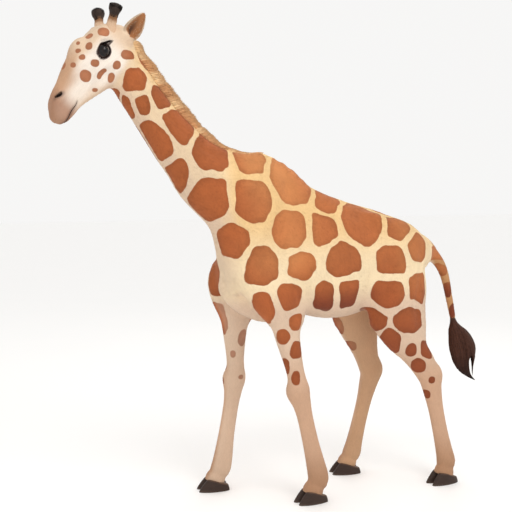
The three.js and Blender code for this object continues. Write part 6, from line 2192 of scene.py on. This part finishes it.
hr, hn, hl, hlen, hs = (np.array(v) for v in (hr, hn, hl, hlen, hs))
P5, tri5, place5 = blades(hr, hn, hl, hlen, np.full(len(hr), 1.5), r_.uniform(1.2, 3.2, len(hr)), sink=1.0, rows=2)
ob = tuft_mesh("horn_tufts", P5, tri5, place5, uv_of(hr, to_head(hr), np.full(len(hr), 2), 2), {"shade": hs}, DARK_MAT)

# pale fringe inside the ears and along their edges
r_ = np.random.default_rng(11)
fr, fd, fl, fn = [], [], [], []
for ear in EARS:
    for k in range(700):
        t = r_.uniform(0.12, 0.97)
        sgn = r_.choice([-1, 1])
        on_rim = r_.random() < 0.6
        half = (EAR["width"] - 3) * math.sin(math.pi * (0.16 + 0.8 * t)) ** 0.6
        wrap = 1.5 + (0.8 - 1.5) * t**0.7
        R = half / max(math.sin(wrap), 0.9)
        zc = -EAR["cup"] * (1 - 0.4 * t) + R
        a = sgn * wrap * (r_.uniform(0.93, 1.0) if on_rim else r_.uniform(0.2, 0.95))
        base = ear.root + ear.tip * (-26 + t * (ear.length + 26)) + ear.across * (R - 1.6) * math.sin(a) + ear.open * (zc - (R - 1.6) * math.cos(a))
        inward = -(ear.across * math.sin(a) - ear.open * math.cos(a))
        if on_rim:
            d = unit(inward * 0.55 + ear.open * 0.25 + ear.tip * 0.75 + r_.normal(0, 0.12, 3))
            l = r_.uniform(10, 20)
        else:
            d = unit(inward * 0.35 + ear.tip * 0.9 + r_.normal(0, 0.15, 3))
            l = r_.uniform(8, 18) * (1 - 0.5 * t)
        fr.append(base), fd.append(d), fl.append(l), fn.append(inward)
fr, fd, fl, fn = (np.array(v) for v in (fr, fd, fl, fn))
rows = 3
path = np.zeros((len(fr), rows + 1, 3))
for k in range(rows + 1):
    f = k / rows
    path[:, k] = fr - fn * 1.5 + fd * (fl * f)[:, None] + fn * (fl * 0.15 * f * f)[:, None]
P6, tri6, place6 = strands(path, np.full(len(fr), 0.8), rows, fn, fat=0.6, taper=0.7)
tuft_mesh("ear_fringe", P6, tri6, place6, uv_of(fr, to_head(fr), np.where(np.arange(len(fr)) < len(fr) // 2, 4, 5), 2), {"shade": r_.uniform(-1, 1, len(fr))}, PALE_MAT)

# ------------------------------------------------------------------ floor, light, camera
shift = np.array([0, -BACK_SHIFT / 1000, 0])


def stage():
    me = bpy.data.meshes.new("floor")
    s = 40.0
    me.from_pydata([(-s, -s, 0), (s, -s, 0), (s, s, 0), (-s, s, 0)], [], [(0, 1, 2, 3)])
    floor = bpy.data.objects.new("floor", me)
    bpy.context.scene.collection.objects.link(floor)
    m = Nodes("pale_floor")
    n = m.noise(m.coords(), 1.3, 2.0)
    m.put(m.bsdf.inputs["Base Color"], m.mix(n, rgba(lin(253, 253, 252)), rgba(lin(255, 254, 253))))
    m.bsdf.inputs["Roughness"].default_value = 0.9
    me.materials.append(m.mat)
    world = bpy.data.worlds.new("studio")
    bpy.context.scene.world = world
    world.use_nodes = True
    bg = world.node_tree.nodes["Background"]
    bg.inputs[0].default_value = (1.0, 0.994, 0.985, 1)
    bg.inputs[1].default_value = 0.93

    def area(name, at, to, size, power, colour=(1, 1, 1)):
        light = bpy.data.lights.new(name, "AREA")
        light.shape, light.size, light.energy, light.color = "DISK", size, power, colour
        ob = bpy.data.objects.new(name, light)
        bpy.context.scene.collection.objects.link(ob)
        ob.location = at
        ob.rotation_euler = (Vector(to) - Vector(at)).to_track_quat("-Z", "Y").to_euler()
        return ob

    area("key", (4.4, 0.6, 6.6), (0, -0.2, 1.8), 3.4, 124, (1.0, 0.975, 0.94))
    area("fill", (6.2, -4.6, 2.6), (0, -0.2, 1.5), 4.5, 18, (0.97, 0.98, 1.0))
    eye = from_head(EYE["a"], EYE["b"], EYE["c"]) / 1000 + shift
    area("catch", eye + (0.415 * CR + 0.83 * CU - 0.378 * CF) * 2.6, eye, 0.5, 6)
    area("rim", (-4.5, 3.5, 5.5), (0, 0, 2.0), 3.0, 40, (1.0, 0.96, 0.9))


stage()
cam_data = bpy.data.cameras.new("camera")
camera = bpy.data.objects.new("camera", cam_data)
bpy.context.scene.collection.objects.link(camera)
camera.location = Vector(EYE_AT + shift)
camera.rotation_euler = (Vector(TARGET + shift) - camera.location).to_track_quat("-Z", "Y").to_euler()
cam_data.sensor_width = 36.0
cam_data.lens = FOCAL / 512 * 36.0
bpy.context.scene.camera = camera
bpy.context.scene.view_settings.view_transform = "Standard"
